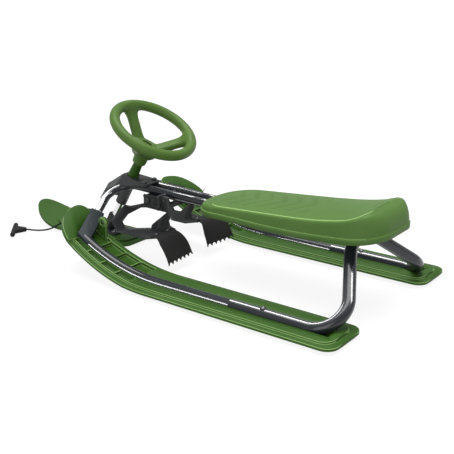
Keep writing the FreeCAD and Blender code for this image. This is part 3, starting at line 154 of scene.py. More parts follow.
def rounded_copy(node, edge, edge_highlight=False, beside=None):
    """A copy of a CAD node with its edges rounded, but for those of a channel beside a middle line.
    When asked, the rounded edges take the piece's second material: a paler painted highlight along them."""
    merged, flat, sharp, channel_half = 2e-6, math.radians(0.6), math.radians(26.0), 0.0145
    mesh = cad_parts[node].data.copy()
    shape = bmesh.new()
    shape.from_mesh(mesh)
    bmesh.ops.remove_doubles(shape, verts=shape.verts, dist=merged)
    bmesh.ops.dissolve_limit(shape, angle_limit=flat, verts=shape.verts, edges=shape.edges)
    marks = shape.edges.layers.float.new("bevel_weight_edge")
    for line in shape.edges:
        middle = (line.verts[0].co.y + line.verts[1].co.y) / 2
        channel = beside and abs(abs(middle) - beside) < channel_half
        line[marks] = float(line.is_manifold and line.calc_face_angle() > sharp and not channel)
    shape.to_mesh(mesh)
    shape.free()
    mesh.materials.clear()
    mesh.polygons.foreach_set("material_index", [0] * len(mesh.polygons))
    piece = placed(node + "_finish", mesh)
    rounding = piece.modifiers.new("edges", "BEVEL")
    rounding.width = edge
    rounding.segments = 2
    rounding.limit_method = "WEIGHT"
    rounding.use_clamp_overlap = not beside
    if edge_highlight:
        # The rounded edges take the second material: a painted highlight.
        rounding.material = 1
    piece.modifiers.new("normals", "WEIGHTED_NORMAL").keep_sharp = True
    return piece


def plain_mesh(piece, *materials):
    """Turns a piece's modifiers into its mesh, with its faces smooth and its materials in order."""
    for material in materials:
        piece.data.materials.append(material)
    bpy.context.view_layer.update()
    seen = piece.evaluated_get(bpy.context.evaluated_depsgraph_get())
    mesh = bpy.data.meshes.new_from_object(seen)
    piece.modifiers.clear()
    piece.data = mesh
    mesh.polygons.foreach_set("use_smooth", [True] * len(mesh.polygons))
    return piece


def fitted(piece, body, slot, *nodes):
    """Lets a piece ride on a body in place of CAD nodes. The slot is not used."""
    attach(piece, body)
    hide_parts(*nodes)
    return piece


def dressed(node, body, slot, *materials, edge, beside=None):
    """Puts a rounded copy of a CAD node in its place. A second material is a painted highlight along the
    rounded edges.
    """
    piece = rounded_copy(node, edge, edge_highlight=len(materials) > 1, beside=beside)
    return fitted(plain_mesh(piece, *materials), body, slot, node)


runner_middle = 0.196
runner_plastic = moulded_plastic("runner_plastic", linear(46, 81, 24), linear(63, 98, 36),
                                 grain=900.0, rough=0.48)
# The paler plastic on the rounded edges of runners and front ski is a painted highlight along ribs and deck
# edges.
edge_highlight_plastic = moulded_plastic("edge_highlight_plastic", linear(112, 148, 84), linear(142, 176, 112),
                                 grain=900.0, rough=0.36)
for side in ("left", "right"):
    dressed("runner_" + side, "frame", "green_plastic", runner_plastic, edge_highlight_plastic, edge=0.0010,
            beside=runner_middle)

# Rear hoop and frame tubes: round steel tube, cold bent to shape and sprayed with glossy charcoal
# lacquer. The hoop stands on the runners and carries the seat; the two frame tubes run side by side
# from it to the steering head and down to the runners.


def lacquer(name, colour, rough, coat, orange_peel):
    """Sprayed lacquer on steel: nearly even in colour, with a faint orange peel in its gloss."""
    lift, least = 1.5, 0.003
    cloud_rough, peel_rough, mean_rough = 0.1, 0.06, 0.08
    material, start, shader = new_material(name)
    place = start.make("TexCoord", {}, {}, "Object")
    cloud = start.make("TexNoise", {}, {"Vector": place, "Scale": 14.0, "Detail": 3.0})
    peel = start.make("TexNoise", {}, {"Vector": place, "Scale": 420.0, "Detail": 2.0})
    shine = [min(1.0, c * lift + least) for c in colour[:3]] + [1.0]
    wire(shader, "Base Color", mixed(start, cloud, colour, shine))
    wire(shader, "Roughness", cloud * cloud_rough + peel * peel_rough + (rough - mean_rough))
    bump = start.make("Bump", {}, {"Strength": 0.25, "Distance": orange_peel, "Height": peel})
    wire(shader, "Normal", bump)
    shader.inputs["Coat Weight"].default_value = coat
    shader.inputs["Coat Roughness"].default_value = 0.07
    shader.inputs["Specular IOR Level"].default_value = 0.15
    return material


class Tree:
    """A Geometry Nodes tree: named inputs, and make() for its nodes."""

    def __init__(self, name):
        self.tree = bpy.data.node_groups.new(name, "GeometryNodeTree")
        self.sockets = {}
        self.source = self.tree.nodes.new("NodeGroupInput")
        self.tree.interface.new_socket("Geometry", in_out="OUTPUT", socket_type="NodeSocketGeometry")

    def asks(self, name, kind):
        socket = self.tree.interface.new_socket(name, in_out="INPUT", socket_type="NodeSocket" + kind)
        self.sockets[name] = socket.identifier
        return self.source.outputs[name]

    def make(self, kind, settings, sockets, output=0):
        node = self.tree.nodes.new(kind)
        for name, setting in settings.items():
            setattr(node, name, setting)
        for name, value in sockets.items():
            if isinstance(value, bpy.types.NodeSocket):
                self.tree.links.new(value, node.inputs[name])
            else:
                node.inputs[name].default_value = value
        return node.outputs[output]

    def swept(self, line, diameter, sides):
        """A round rod of a diameter along a line, with its ends closed."""
        half = self.make("ShaderNodeMath", {"operation": "MULTIPLY"}, {0: diameter, 1: 0.5})
        ring = self.make("GeometryNodeCurvePrimitiveCircle", {"mode": "RADIUS"},
                         {"Resolution": sides, "Radius": half})
        return self.make("GeometryNodeCurveToMesh", {},
                         {"Curve": line, "Profile Curve": ring, "Fill Caps": True})

    def closes(self, shape, material):
        """Ends the tree: real faces, smooth, with their material."""
        shape = self.make("GeometryNodeRealizeInstances", {}, {"Geometry": shape})
        shape = self.make("GeometryNodeSetShadeSmooth", {}, {0: shape})
        shape = self.make("GeometryNodeSetMaterial", {}, {"Geometry": shape, "Material": material})
        end = self.tree.nodes.new("NodeGroupOutput")
        self.tree.links.new(shape, end.inputs[0])

    def grown(self, name, mesh, **values):
        """A piece grown by the tree from a start mesh, as a plain mesh."""
        piece = placed(name, mesh)
        modifier = piece.modifiers.new("growth", "NODES")
        modifier.node_group = self.tree
        for key, value in values.items():
            modifier[self.sockets[key]] = value
        return plain_mesh(piece)


tube_lacquer = lacquer("tube_lacquer", linear(26, 30, 35), rough=0.35, coat=0.7, orange_peel=0.000006)

bender = Tree("tube_bender")
line = bender.asks("Line", "Geometry")
diameter = bender.asks("Diameter", "Float")
line = bender.make("GeometryNodeMeshToCurve", {}, {"Mesh": line})
bend = bender.make("GeometryNodeInputNamedAttribute", {"data_type": "FLOAT"}, {"Name": "bend"})
line = bender.make("GeometryNodeFilletCurve", {"mode": "POLY"},
                   {"Curve": line, "Count": 18, "Radius": bend, "Limit Radius": True})
bender.closes(bender.swept(line, diameter, sides=40), tube_lacquer)


def bent_tube(node, corners, bends, diameter):
    """A tube bent along a line of corners, with one radius for each inner corner, in a node's place."""
    mesh = bpy.data.meshes.new(node)
    mesh.from_pydata(corners, [(i, i + 1) for i in range(len(corners) - 1)], [])
    mesh.attributes.new("bend", "FLOAT", "POINT").data.foreach_set("value", [0.0, *bends, 0.0])
    fitted(bender.grown(node + "_finish", mesh, Diameter=diameter), "frame", "tube_lacquer", node)


tube_level = 0.0168
foot_bend, top_bend = 0.056, 0.080
hoop = [(-0.248, runner_middle, tube_level), (-0.505, runner_middle, tube_level), (-0.419, 0.039, 0.136)]
hoop += [(x, -y, z) for x, y, z in reversed(hoop)]
bent_tube("rear_hoop", hoop, [foot_bend, top_bend, top_bend, foot_bend], diameter=0.0254)
frame_line = [(0.1696, 0.1491, 0.0937), (0.222, 0.017, 0.1505), (-0.4095, 0.017, 0.13621)]
frame_bend = 0.049
for side, name in ((1, "frame_tube_left"), (-1, "frame_tube_right")):
    bent_tube(name, [(x, y * side, z) for x, y, z in frame_line], [frame_bend], diameter=0.018)

# Runner tubes: steel tubes pushed into the hoop's ends. They lie in the runners' channels, bend up
# with them and end in a flattened sleeve that takes the foot of a frame tube, closed by a bright ring.


def plated_steel(name, dull, bright, rough):
    """Zinc-plated steel: grey metal with a faint brushed cloud."""
    cloud_rough, mean_rough = 0.2, 0.1
    material, start, shader = new_material(name)
    place = start.make("TexCoord", {}, {}, "Object")
    cloud = start.make("TexNoise", {}, {"Vector": place, "Scale": 160.0, "Detail": 5.0})
    wire(shader, "Base Color", mixed(start, cloud, dull, bright))
    wire(shader, "Roughness", cloud * cloud_rough + (rough - mean_rough))
    shader.inputs["Metallic"].default_value = 1.0
    return material


def meshed(shape, name, sheet=False):
    """A built shape as a mesh, its faces turned outward; an open sheet's topmost face looks up."""
    bmesh.ops.recalc_face_normals(shape, faces=shape.faces)
    if sheet and max(shape.faces, key=lambda face: face.calc_center_median().z).normal.z < 0:
        bmesh.ops.reverse_faces(shape, faces=shape.faces)
    mesh = bpy.data.meshes.new(name)
    shape.to_mesh(mesh)
    shape.free()
    return mesh


def flat_sleeve(name, side):
    """The flattened sleeve: a straight oblong bar, cut off along the runner at its lower end."""
    end = Vector((0.17976, 0.1235, 0.10469))
    way = (end - Vector((0.15101, runner_middle, 0.07351))).normalized()
    deck_up = Vector((-0.4648, 0, 0.8854))
    half_width, half_depth, cut_off = 0.0155, 0.0105, 0.2085
    across = way.cross(deck_up).normalized()
    up = across.cross(way)
    tops = [end + across * (u * half_width) + up * (v * half_depth)
            for u, v in ((1, 1), (-1, 1), (-1, -1), (1, -1))]
    feet = [top + way * ((cut_off - top.y) / way.y) for top in tops]
    shape = bmesh.new()
    rings = [[shape.verts.new((p.x, p.y * side, p.z)) for p in ring] for ring in (tops, feet)]
    for ring in rings:
        shape.faces.new(ring)
    for i in range(4):
        shape.faces.new((rings[0][i], rings[0][i - 1], rings[1][i - 1], rings[1][i]))
    piece = placed(name, meshed(shape, name))
    rounding = piece.modifiers.new("edges", "BEVEL")
    rounding.width = 0.0022
    rounding.segments = 3
    piece.modifiers.new("normals", "WEIGHTED_NORMAL").keep_sharp = True
    return piece


sleeve_lacquer = lacquer("sleeve_lacquer", linear(34, 41, 43), rough=0.5, coat=0.05, orange_peel=0.0001)
bright_steel = plated_steel("bright_steel", linear(176, 176, 180), linear(232, 232, 234), rough=0.22)
runner_line = [(-0.338, runner_middle, tube_level), (0.0430, runner_middle, tube_level),
               (0.1500, runner_middle, 0.0730)]
runner_bend = 0.4502
for side, name in ((1, "runner_tube_left"), (-1, "runner_tube_right")):
    bent_tube(name, [(x, y * side, z) for x, y, z in runner_line], [runner_bend], diameter=0.022)
    sleeve = plain_mesh(flat_sleeve(name + "_sleeve", side), sleeve_lacquer)
    fitted(sleeve, "frame", "tube_lacquer", name)
dressed("tube_rings", "frame", "bright_steel", bright_steel, edge=0.0008)

# Runner bolts: zinc-plated dome-headed bolts with a socket for a key. One on each side goes down
# through hoop and tube into the runner's keel.


def dome_bolt(name, head_width, head, shank_width, shank):
    """A dome-headed bolt about +Z: the underside of its head is at the origin, its socket six-sided."""
    half_head, half_shank, chamfer = head_width * 0.5, shank_width * 0.5, 0.0006
    tip_share, seat_share, brim_share, dome_foot = 0.8, 0.96, 0.1, 0.35
    socket, socket_top, socket_foot, socket_floor = head_width * 0.17, 0.97, 0.5, 0.42
    profile = [(0.0, -shank), (half_shank * tip_share, -shank), (half_shank, chamfer - shank),
               (half_shank, 0.0), (half_head * seat_share, 0.0), (half_head, head * brim_share),
               (half_head, head * dome_foot)]
    for turn in (25, 45, 62):
        angle = math.radians(turn)
        rise = dome_foot + (1 - dome_foot) * math.sin(angle)
        profile.append((half_head * math.cos(angle), head * rise))
    profile += [(socket, head * socket_top), (socket * 0.97, head * socket_foot), (0.0, head * socket_floor)]
    six_sided = (len(profile) - 3, len(profile) - 2)
    sides = 24
    shape = bmesh.new()
    rings = []
    for place, (radius, height) in enumerate(profile):
        ring = []
        for i in range(sides):
            angle = math.tau * i / sides
            reach = radius
            if place in six_sided:
                reach = radius / math.cos((angle + math.pi / 6) % (math.pi / 3) - math.pi / 6)
            ring.append(shape.verts.new((reach * math.cos(angle), reach * math.sin(angle), height)))
        rings.append(ring)
    for low, high in zip(rings, rings[1:]):
        for i in range(sides):
            j = (i + 1) % sides
            shape.faces.new((low[i], low[j], high[j], high[i]))
    bmesh.ops.remove_doubles(shape, verts=shape.verts, dist=1e-7)
    return meshed(shape, name)


def bolt_setter(name, material):
    """A tree that sets one bolt on every point, along the direction that the point holds."""
    setter = Tree(name)
    points = setter.asks("Places", "Geometry")
    bolt = setter.asks("Bolt", "Object")
    bolt = setter.make("GeometryNodeObjectInfo", {"transform_space": "ORIGINAL"}, {"Object": bolt},
                       "Geometry")
    aim = setter.make("GeometryNodeInputNamedAttribute", {"data_type": "FLOAT_VECTOR"}, {"Name": "aim"})
    turn = setter.make("FunctionNodeAlignRotationToVector", {"axis": "Z"}, {"Vector": aim})
    bolts = setter.make("GeometryNodeInstanceOnPoints", {},
                        {"Points": points, "Instance": bolt, "Rotation": turn})
    setter.closes(bolts, material)
    return setter


def set_bolts(setter, node, body, places, aim, **sizes):
    """All bolts of one node, as one piece in its place."""
    pattern = placed(node + "_pattern", dome_bolt(node, **sizes))
    mesh = bpy.data.meshes.new(node + "_places")
    mesh.from_pydata(places, [], [])
    aims = mesh.attributes.new("aim", "FLOAT_VECTOR", "POINT")
    aims.data.foreach_set("vector", list(aim) * len(places))
    piece = setter.grown(node + "_finish", mesh, Bolt=pattern)
    bpy.data.objects.remove(pattern)
    fitted(piece, body, "bright_steel", node)


zinc_steel = plated_steel("zinc_steel", linear(84, 85, 88), linear(124, 125, 128), rough=0.34)
bright_bolts = bolt_setter("bright_bolts", zinc_steel)
places = [(-0.323, side * runner_middle, 0.0292) for side in (1, -1)]
set_bolts(bright_bolts, "runner_bolts", "frame", places, aim=(0, 0, 1),
          head_width=0.012, head=0.004, shank_width=0.006, shank=0.0272)

# Steering head: a head tube welded between the frame tubes under a folded hood of sheet steel,
# sprayed black, with two bolts through hood and tubes and a bush pressed into each end.

plate_lacquer = lacquer("plate_lacquer", linear(43, 44, 45), rough=0.4, coat=0.3, orange_peel=0.0002)
# The paler lacquer on the rounded edges of head, brake plates, claws and fork is a painted highlight along
# them.
edge_highlight_lacquer = lacquer("edge_highlight_lacquer", linear(58, 59, 62), rough=0.4, coat=0.2, orange_peel=0.0002)
black_plastic = moulded_plastic("black_plastic", linear(22, 22, 23), linear(34, 34, 35),
                                grain=1100.0, rough=0.5)
dressed("steering_head", "frame", "plate_lacquer", plate_lacquer, edge_highlight_lacquer, edge=0.0008)
places = [(0.130, side * 0.017, 0.16195) for side in (1, -1)]
set_bolts(bright_bolts, "head_bolts", "frame", places, aim=(0, 0, 1),
          head_width=0.012, head=0.004, shank_width=0.006, shank=0.021)
for name in ("bush_upper", "bush_lower"):
    dressed(name, "frame", "black_plastic", black_plastic, edge=0.0004)

# Foot brake: a hanger under the frame tubes holds the pin on which two folded side plates turn. Each
# plate has a pedal outside and a toothed claw bolted under its rear edge; all of it is sprayed black.


def claw_plate(name, side):
    """A claw: a strip of sheet curved down from the pedal, splayed back outside, with hooked teeth."""
    bend = np.array([(0.0459, 0.0705), (0.0334, 0.0738), (0.0240, 0.0763), (0.0170, 0.0772), (0.0090, 0.0735),
                     (0.0020, 0.0660), (-0.0045, 0.0550), (-0.0110, 0.0400), (-0.0182, 0.0210)])
    run = np.concatenate([[0], np.cumsum(np.hypot(*np.diff(bend, axis=0).T))])
    inner_run, inner_y = [0.020, 0.034, 0.050, 0.065, 0.098], [0.046, 0.043, 0.036, 0.031, 0.028]
    outer_run, outer_y = [0.0, 0.020, 0.035, 0.048, 0.098], [0.099, 0.103, 0.112, 0.117, 0.117]
    splay_from, splay_over, splay_inside, splay_more = 0.020, 0.060, 0.002, 0.007
    teeth, depth, hook_share, columns, levels, softness = 6, 0.0075, 0.98, 12, 28, 0.004
    shape = bmesh.new()
    rows = []
    for step in np.append(np.linspace(0, run[-1] - depth, levels), run[-1]):
        row = []
        for i in range(teeth * columns + 1):
            across = i / (teeth * columns)
            notch = 2 * (i % columns) / columns - 1
            place = step
            if step == run[-1]:
                place = step - depth * math.sqrt(1 - notch ** 2) * hook_share
            near = [[np.interp(place + shift, run, bend[:, k]) for shift in (-softness, 0, softness)]
                    for k in (0, 1)]
            x, z = [(before + here + after) / 3 for before, here, after in near]
            inner = np.interp(place, inner_run, inner_y)
            outer = np.interp(place, outer_run, outer_y)
            splay = np.clip((place - splay_from) / splay_over, 0, 1) * (splay_inside + splay_more * across)
            y = inner + (outer - inner) * across
            row.append(shape.verts.new((x - splay, y * side, z)))
        rows.append(row)
    for low, high in zip(rows, rows[1:]):
        for i in range(len(low) - 1):
            shape.faces.new((low[i], low[i + 1], high[i + 1], high[i]))
    piece = placed(name, meshed(shape, name, sheet=True))
    wall = piece.modifiers.new("wall", "SOLIDIFY")
    wall.thickness = 0.003
    wall.offset = -1.0
    rounding = piece.modifiers.new("edges", "BEVEL")
    rounding.width = 0.0004
    rounding.angle_limit = math.radians(50)
    # The rounded edges take the second material, a painted highlight.
    rounding.material = 1
    piece.modifiers.new("normals", "WEIGHTED_NORMAL").keep_sharp = True
    return piece


# The claws' lacquer is darker than the plates' black: painted shade, for the claws face down and back, away
# from the light.
claw_painted_shade_lacquer = lacquer("claw_painted_shade_lacquer", linear(28, 27, 27), rough=0.55, coat=0.0, orange_peel=0.0002)
dressed("brake_hanger", "frame", "plate_lacquer", plate_lacquer, edge=0.0006)
for side, hand in ((1, "left"), (-1, "right")):
    dressed("brake_plate_" + hand, "brake", "plate_lacquer", plate_lacquer, edge_highlight_lacquer, edge=0.0007)
    claw = plain_mesh(claw_plate("brake_claw_" + hand + "_finish", side), claw_painted_shade_lacquer, edge_highlight_lacquer)
    fitted(claw, "brake", "plate_lacquer", "brake_claw_" + hand)
dressed("brake_spacer", "brake", "plate_lacquer", plate_lacquer, edge=0.0006)
dull_steel = plated_steel("dull_steel", linear(70, 71, 74), linear(104, 105, 108), rough=0.38)
for name in ("brake_pin", "cross_pin"):
    dressed(name, "frame", "bright_steel", dull_steel, edge=0.0005)
dark_bolts = bolt_setter("dark_bolts", dull_steel)
places = [(0.03339, side * y, 0.07379) for side in (1, -1) for y in (0.053, 0.090)]
set_bolts(dark_bolts, "brake_bolts", "brake", places, aim=(0.2545, 0, 0.967),
          head_width=0.011, head=0.0035, shank_width=0.005, shank=0.009)

# Brake spring: one steel wire wound in ten coils between the cross pin and the spacer's end. On the sled it
# stretches as the brake is pressed and pulls it back up; here it is built at rest and stays so.

coiler = Tree("spring_coiler")
coiler.asks("Start", "Geometry")
turns, radius, height = [coiler.asks(name, "Float") for name in ("Turns", "Radius", "Height")]
foot = coiler.asks("Foot", "Vector")
gauge = coiler.asks("Gauge", "Float")
helix = coiler.make("GeometryNodeCurveSpiral", {}, {"Resolution": 28, "Rotations": turns, "Height": height,
                                                   "Start Radius": radius, "End Radius": radius})
helix = coiler.make("GeometryNodeTransform", {}, {"Geometry": helix, "Translation": foot})
coiler.closes(coiler.swept(helix, gauge, sides=10), dull_steel)
spring = coiler.grown("brake_spring_finish", bpy.data.meshes.new("spring_start"), Turns=10.0, Radius=0.0028,
                      Height=0.0208, Foot=(0.060, 0.049, 0.122), Gauge=0.0014)
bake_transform(spring)
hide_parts("brake_spring")

# Seat brackets: two strips of sheet steel welded across the frame tubes, black, each with two
# zinc-plated screws driven up into bosses inside the seat.

for name in ("seat_bracket_front", "seat_bracket_rear"):
    dressed(name, "frame", "plate_lacquer", plate_lacquer, edge=0.0006)
places = [(x, side * 0.052, z) for side in (1, -1) for x, z in ((-0.138, 0.15184), (-0.393, 0.14607))]
set_bolts(bright_bolts, "seat_screws", "frame", places, aim=(0, 0, -1),
          head_width=0.011, head=0.004, shank_width=0.005, shank=0.015)

# Seat: one thin shell of satin green plastic, moulded with a lip round its foot, a fine bead along
# the upper edge, a crowned top that rises to a crest at the rear and a shallow pattern for grip.


def grip_pattern(start, place):
    """Shallow raised arrow stripes over the middle of the seat, with soft ends."""
    slant, pitch, middle_x = 0.62, 0.036, -0.215
    along = start.make("SeparateXYZ", {}, {"Vector": place}, "X")
    across = abs(start.make("SeparateXYZ", {}, {"Vector": place}, "Y"))
    wave = start.math("SINE", (along - across * slant) * (math.tau / pitch))

    def step(value, low, high):
        """Rises softly from 0 at low to 1 at high."""
        return start.make("MapRange", {"interpolation_type": "SMOOTHSTEP"},
                          {"Value": value, "From Min": low, "From Max": high})

    stripe = step(wave, low=0.35, high=0.75)
    inside = step(across, low=0.055, high=0.051)
    middle = step(abs(along - middle_x), low=0.112, high=0.106)
    return stripe * inside * middle


def seat_outline(count):
    """Plan of the seat's foot as even points, with the outward direction at each of them."""
    nose, front, middle, tail = -0.0455, -0.128, -0.338, -0.4995
    front_half, rear_half, corner = 0.0825, 0.0914, 0.060
    steps = 40
    round_nose = (front_half ** 2 + (nose - front) ** 2) / (2 * (nose - front))
    turn_end = math.asin(front_half / round_nose)
    side = []
    for i in range(steps + 1):
        turn = turn_end * i / steps
        side.append((nose - round_nose * (1 - math.cos(turn)), round_nose * math.sin(turn)))
    side += [(front + (middle - front) * i / steps, front_half + (rear_half - front_half) * i / steps)
             for i in range(1, steps + 1)]
    for i in range(steps + 1):
        turn = math.pi / 2 * i / steps
        side.append((tail + corner * (1 - math.sin(turn)), rear_half - corner * (1 - math.cos(turn))))
    loop = np.array(side + [(x, -y) for x, y in reversed(side[1:])])
    loop = np.vstack([loop, loop[:1]])
    run = np.concatenate([[0], np.cumsum(np.hypot(*np.diff(loop, axis=0).T))])
    even = np.linspace(0, run[-1], count, endpoint=False)
    points = np.column_stack([np.interp(even, run, loop[:, k]) for k in (0, 1)])
    way = np.roll(points, -1, axis=0) - np.roll(points, 1, axis=0)
    out = np.column_stack([way[:, 1], -way[:, 0]]) / np.hypot(*way.T)[:, None]
    for _ in range(4):
        out = (np.roll(out, 1, axis=0) + out * 2 + np.roll(out, -1, axis=0)) / 4
    return points, out / np.hypot(*out.T)[:, None]


def seat_mesh():
    """The seat's outer skin as rings from the foot up the wall, over the bead and in to the spine."""
    count, wall_rings, top_rings = 224, 17, 16
    plan, out = seat_outline(count)
    foot_x = [-0.503, -0.470, -0.440, -0.400, -0.350, -0.300, -0.240, -0.180, -0.128, -0.033]
    foot_z = [0.1605, 0.1550, 0.1510, 0.1475, 0.1440, 0.1415, 0.1400, 0.1405, 0.1400, 0.1335]
    edge_x = [-0.470, -0.460, -0.451, -0.430, -0.410, -0.393, -0.365, -0.318, -0.243, -0.164, -0.120,
              -0.075, -0.033]
    edge_z = [0.2130, 0.2085, 0.2035, 0.1955, 0.1910, 0.1880, 0.1838, 0.1790, 0.1735, 0.1680, 0.1648,
              0.1616, 0.1590]
    crown_x = [-0.470, -0.455, -0.425, -0.338, -0.128, -0.033]
    crown_z = [0.0028, 0.0060, 0.0075, 0.0065, 0.0040, 0.0010]
    lip = [(0.0022, 0.0), (0.0025, 0.0092), (0.0021, 0.0108), (0.0007, 0.0114)]
    lip_top = 0.0117
    bead = [(0.0008, 0.0006), (0.0020, 0.0008), (0.0030, 0.0002), (0.0042, -0.0003), (0.0070, -0.0003)]
    nose_from, notch_half, notch_top = -0.1, 0.0305, 0.1542
    side_inset, rear_inset, front_inset = 0.0050, 0.0265, 0.0290
    side_power, rear_power, front_power, turn_power = 3.6, 1.7, 1.9, 1.4
    spine_rear, spine_front, top_from = -0.432, -0.105, 0.14
    foot = np.interp(plan[:, 0], foot_x, foot_z)
    notch = (np.abs(plan[:, 1]) < notch_half) & (plan[:, 0] > nose_from)
    rear, front = [np.clip(way * out[:, 0], 0, 1) ** turn_power for way in (-1, 1)]
    inset = side_inset + rear_inset * rear + front_inset * front
    power = side_power - rear_power * rear - front_power * front
    edge = plan - out * inset[:, None]
    rim = np.interp(edge[:, 0], edge_x, edge_z)
    low = foot + lip_top
    lowest = np.where(notch, (notch_top - low) / (rim - low), 0.0)
    rings = [np.column_stack([plan + out * step_out, foot + rise]) for step_out, rise in lip]
    for share in np.linspace(0, 1, wall_rings):
        up = np.maximum(share, lowest)
        lean = 1 - (1 - up ** power) ** (1 / power)
        rings.append(np.column_stack([plan - out * (inset * lean)[:, None], low + (rim - low) * up]))
    for ring in rings[:len(lip)]:
        ring[notch] = rings[len(lip)][notch]
    edge_ring = len(rings) - 1
    spine = np.column_stack([np.clip(edge[:, 0], spine_rear, spine_front), np.zeros(count)])
    reach = np.hypot(*(spine - edge).T)
    steps = [(distance / reach, lift) for distance, lift in bead]
    steps += [(np.full(count, share), 0.0) for share in np.linspace(top_from, 1.0, top_rings)]
    for share, lift in steps:
        ring = edge + (spine - edge) * share[:, None]
        height = np.interp(ring[:, 0], edge_x, edge_z)
        crown = np.interp(ring[:, 0], crown_x, crown_z)
        rings.append(np.column_stack([ring, height + crown * (1 - (1 - share) ** 2) + lift]))
    shape = bmesh.new()
    loops = [[shape.verts.new(tuple(point)) for point in ring] for ring in rings]
    for place, (low, high) in enumerate(zip(loops, loops[1:])):
        for i in range(count):
            j = (i + 1) % count
            face = shape.faces.new((low[i], low[j], high[j], high[i]))
            # Faces on the bead and on the lip's ledge take the second material: a paler painted highlight
            # along these edges.
            on_bead_highlight = place in (edge_ring, edge_ring + 1) and abs(out[i, 1]) > 0.6 and plan[i, 0] < nose_from
            on_lip_highlight = place == len(lip) - 1 and out[i, 0] > -0.5
            face.material_index = int(on_bead_highlight or on_lip_highlight)
    bmesh.ops.remove_doubles(shape, verts=shape.verts, dist=2e-5)
    return meshed(shape, "seat_skin", sheet=True)


seat_plastic = moulded_plastic("seat_plastic", linear(76, 110, 49), linear(95, 129, 66),
                               grain=900.0, rough=0.5, relief=grip_pattern)
# A paler green for the bead and the lip's ledge: painted highlight.
bead_highlight_plastic = moulded_plastic("bead_highlight_plastic", linear(134, 172, 98), linear(160, 196, 124),
                               grain=900.0, rough=0.3)
seat = placed("seat_finish", seat_mesh())
wall = seat.modifiers.new("wall", "SOLIDIFY")
wall.thickness = 0.003
wall.offset = -1.0
fitted(plain_mesh(seat, seat_plastic, bead_highlight_plastic), "frame", "green_plastic", "seat_shell")

# Steering column: a ground steel rod through the bushes of the head, with a green plastic sleeve over
# its bare length and the fork's socket on its foot.

polished_steel = plated_steel("polished_steel", linear(206, 206, 210), linear(244, 244, 246), rough=0.16)
dressed("steering_column", "steering", "bright_steel", polished_steel, edge=0.0006)
dressed("column_sleeve", "steering", "green_plastic", runner_plastic, edge=0.0012)

# Steering wheel: rim, three dished spokes and hub in one green plastic moulding with generous
# fillets, held on the column by one bolt in a deep recess.

wheel_plastic = moulded_plastic("wheel_plastic", linear(76, 107, 45), linear(94, 125, 60),
                                grain=900.0, rough=0.36)
wheel_place, wheel_rake = (0.113, 0, 0.2843), math.radians(30.1)

moulder = Tree("wheel_moulder")
moulder.asks("Start", "Geometry")
rim, tube, dish, width, thick, fillet = [Shade(moulder.tree, moulder.asks(name, "Float")) for name in
                                         ("Rim", "Tube", "Dish", "Width", "Thick", "Fillet")]
spot = Shade(moulder.tree, moulder.make("GeometryNodeInputPosition", {}, {}))
x, y, z = [spot.make("SeparateXYZ", {}, {"Vector": spot}, axis) for axis in "XYZ"]
radius = spot.math("SQRT", x * x + y * y)
spokes, spoke_turn = 3, math.radians(6.5)
turn = spot.math("ARCTAN2", y, x) + spoke_turn
fold = turn - spot.math("ROUND", turn * (spokes / math.tau)) * (math.tau / spokes)
along = radius * spot.math("COSINE", fold)
across = abs(radius * spot.math("SINE", fold))


def rounded(wide, deep, corner):
    """Distance to a rounded oblong, from how far a place lies outside its sides."""
    wide = spot.math("MAXIMUM", wide + corner, 0.0)
    deep = spot.math("MAXIMUM", deep + corner, 0.0)
    return spot.math("SQRT", wide * wide + deep * deep) - corner


def melted(first, second, reach):
    """Two bodies as one, with a fillet between them."""
    return spot.make("Math", {"operation": "SMOOTH_MIN"}, {0: first, 1: second, 2: reach})


def without(body, *sides):
    """A body less the room inside all of these sides."""
    room = sides[0]
    for side in sides[1:]:
        room = spot.math("MAXIMUM", room, side)
    return spot.math("MAXIMUM", body, 0.0 - room)


off = radius - rim
loop = spot.math("SQRT", off * off + z * z) - tube * 0.5
spoke_root, spoke_end, spoke_slope, spoke_corner = 0.024, -0.003, 0.77, 0.006
climb = spot.make("MapRange", {}, {"Value": along, "From Min": spoke_root, "From Max": rim,
                                   "To Min": 0.0 - dish, "To Max": spoke_end})
spoke = rounded(across - width * 0.5, abs(z - climb) * spoke_slope - thick * 0.5, spoke_corner)
spoke = spot.math("MAXIMUM", spoke, along - rim)
hub_depth = 0.060
below = z + hub_depth
drum_radius, drum_taper, drum_middle, drum_half, drum_corner = 0.031, 0.3, 0.001, 0.0105, 0.005
drum = rounded(radius - (below * drum_taper + drum_radius), abs(below - drum_middle) - drum_half, drum_corner)
neck_radius, neck_taper, neck_half = 0.0185, 0.07, 0.018
neck = spot.math("MAXIMUM", radius - (below * neck_taper + neck_radius), abs(below + neck_half) - neck_half)
# The fillet to the rim fades out across the tube, so that the rim's outside stays round.
reach = spot.make("MapRange", {}, {"Value": off, "From Min": -0.004, "From Max": 0.003, "To Min": fillet,
                                   "To Max": 0.0})
drum_fillet, neck_fillet = 0.016, 0.008
body = melted(melted(melted(spoke, drum, drum_fillet), neck, neck_fillet), loop, reach)
recess_radius, recess_floor, hole_radius, socket_radius, socket_depth = 0.0135, -0.0015, 0.0043, 0.0083, 0.078
body = without(body, radius - recess_radius, recess_floor - below)
body = without(body, radius - hole_radius, below)
body = without(body, radius - socket_radius, z + socket_depth)
skin = 0.004
full = spot.make("MapRange", {}, {"Value": body, "From Min": skin, "From Max": -skin})
wheel = moulder.make("GeometryNodeVolumeCube", {}, {"Density": full.socket, "Min": (-0.108, -0.108, -0.099),
                                                    "Max": (0.108, 0.108, 0.018), "Resolution X": 145,
                                                    "Resolution Y": 145, "Resolution Z": 79})
wheel = moulder.make("GeometryNodeVolumeToMesh", {}, {"Volume": wheel, "Threshold": 0.5})
wheel = moulder.make("GeometryNodeTransform", {}, {"Geometry": wheel, "Translation": wheel_place,
                                                   "Rotation": (0, -wheel_rake, 0)})
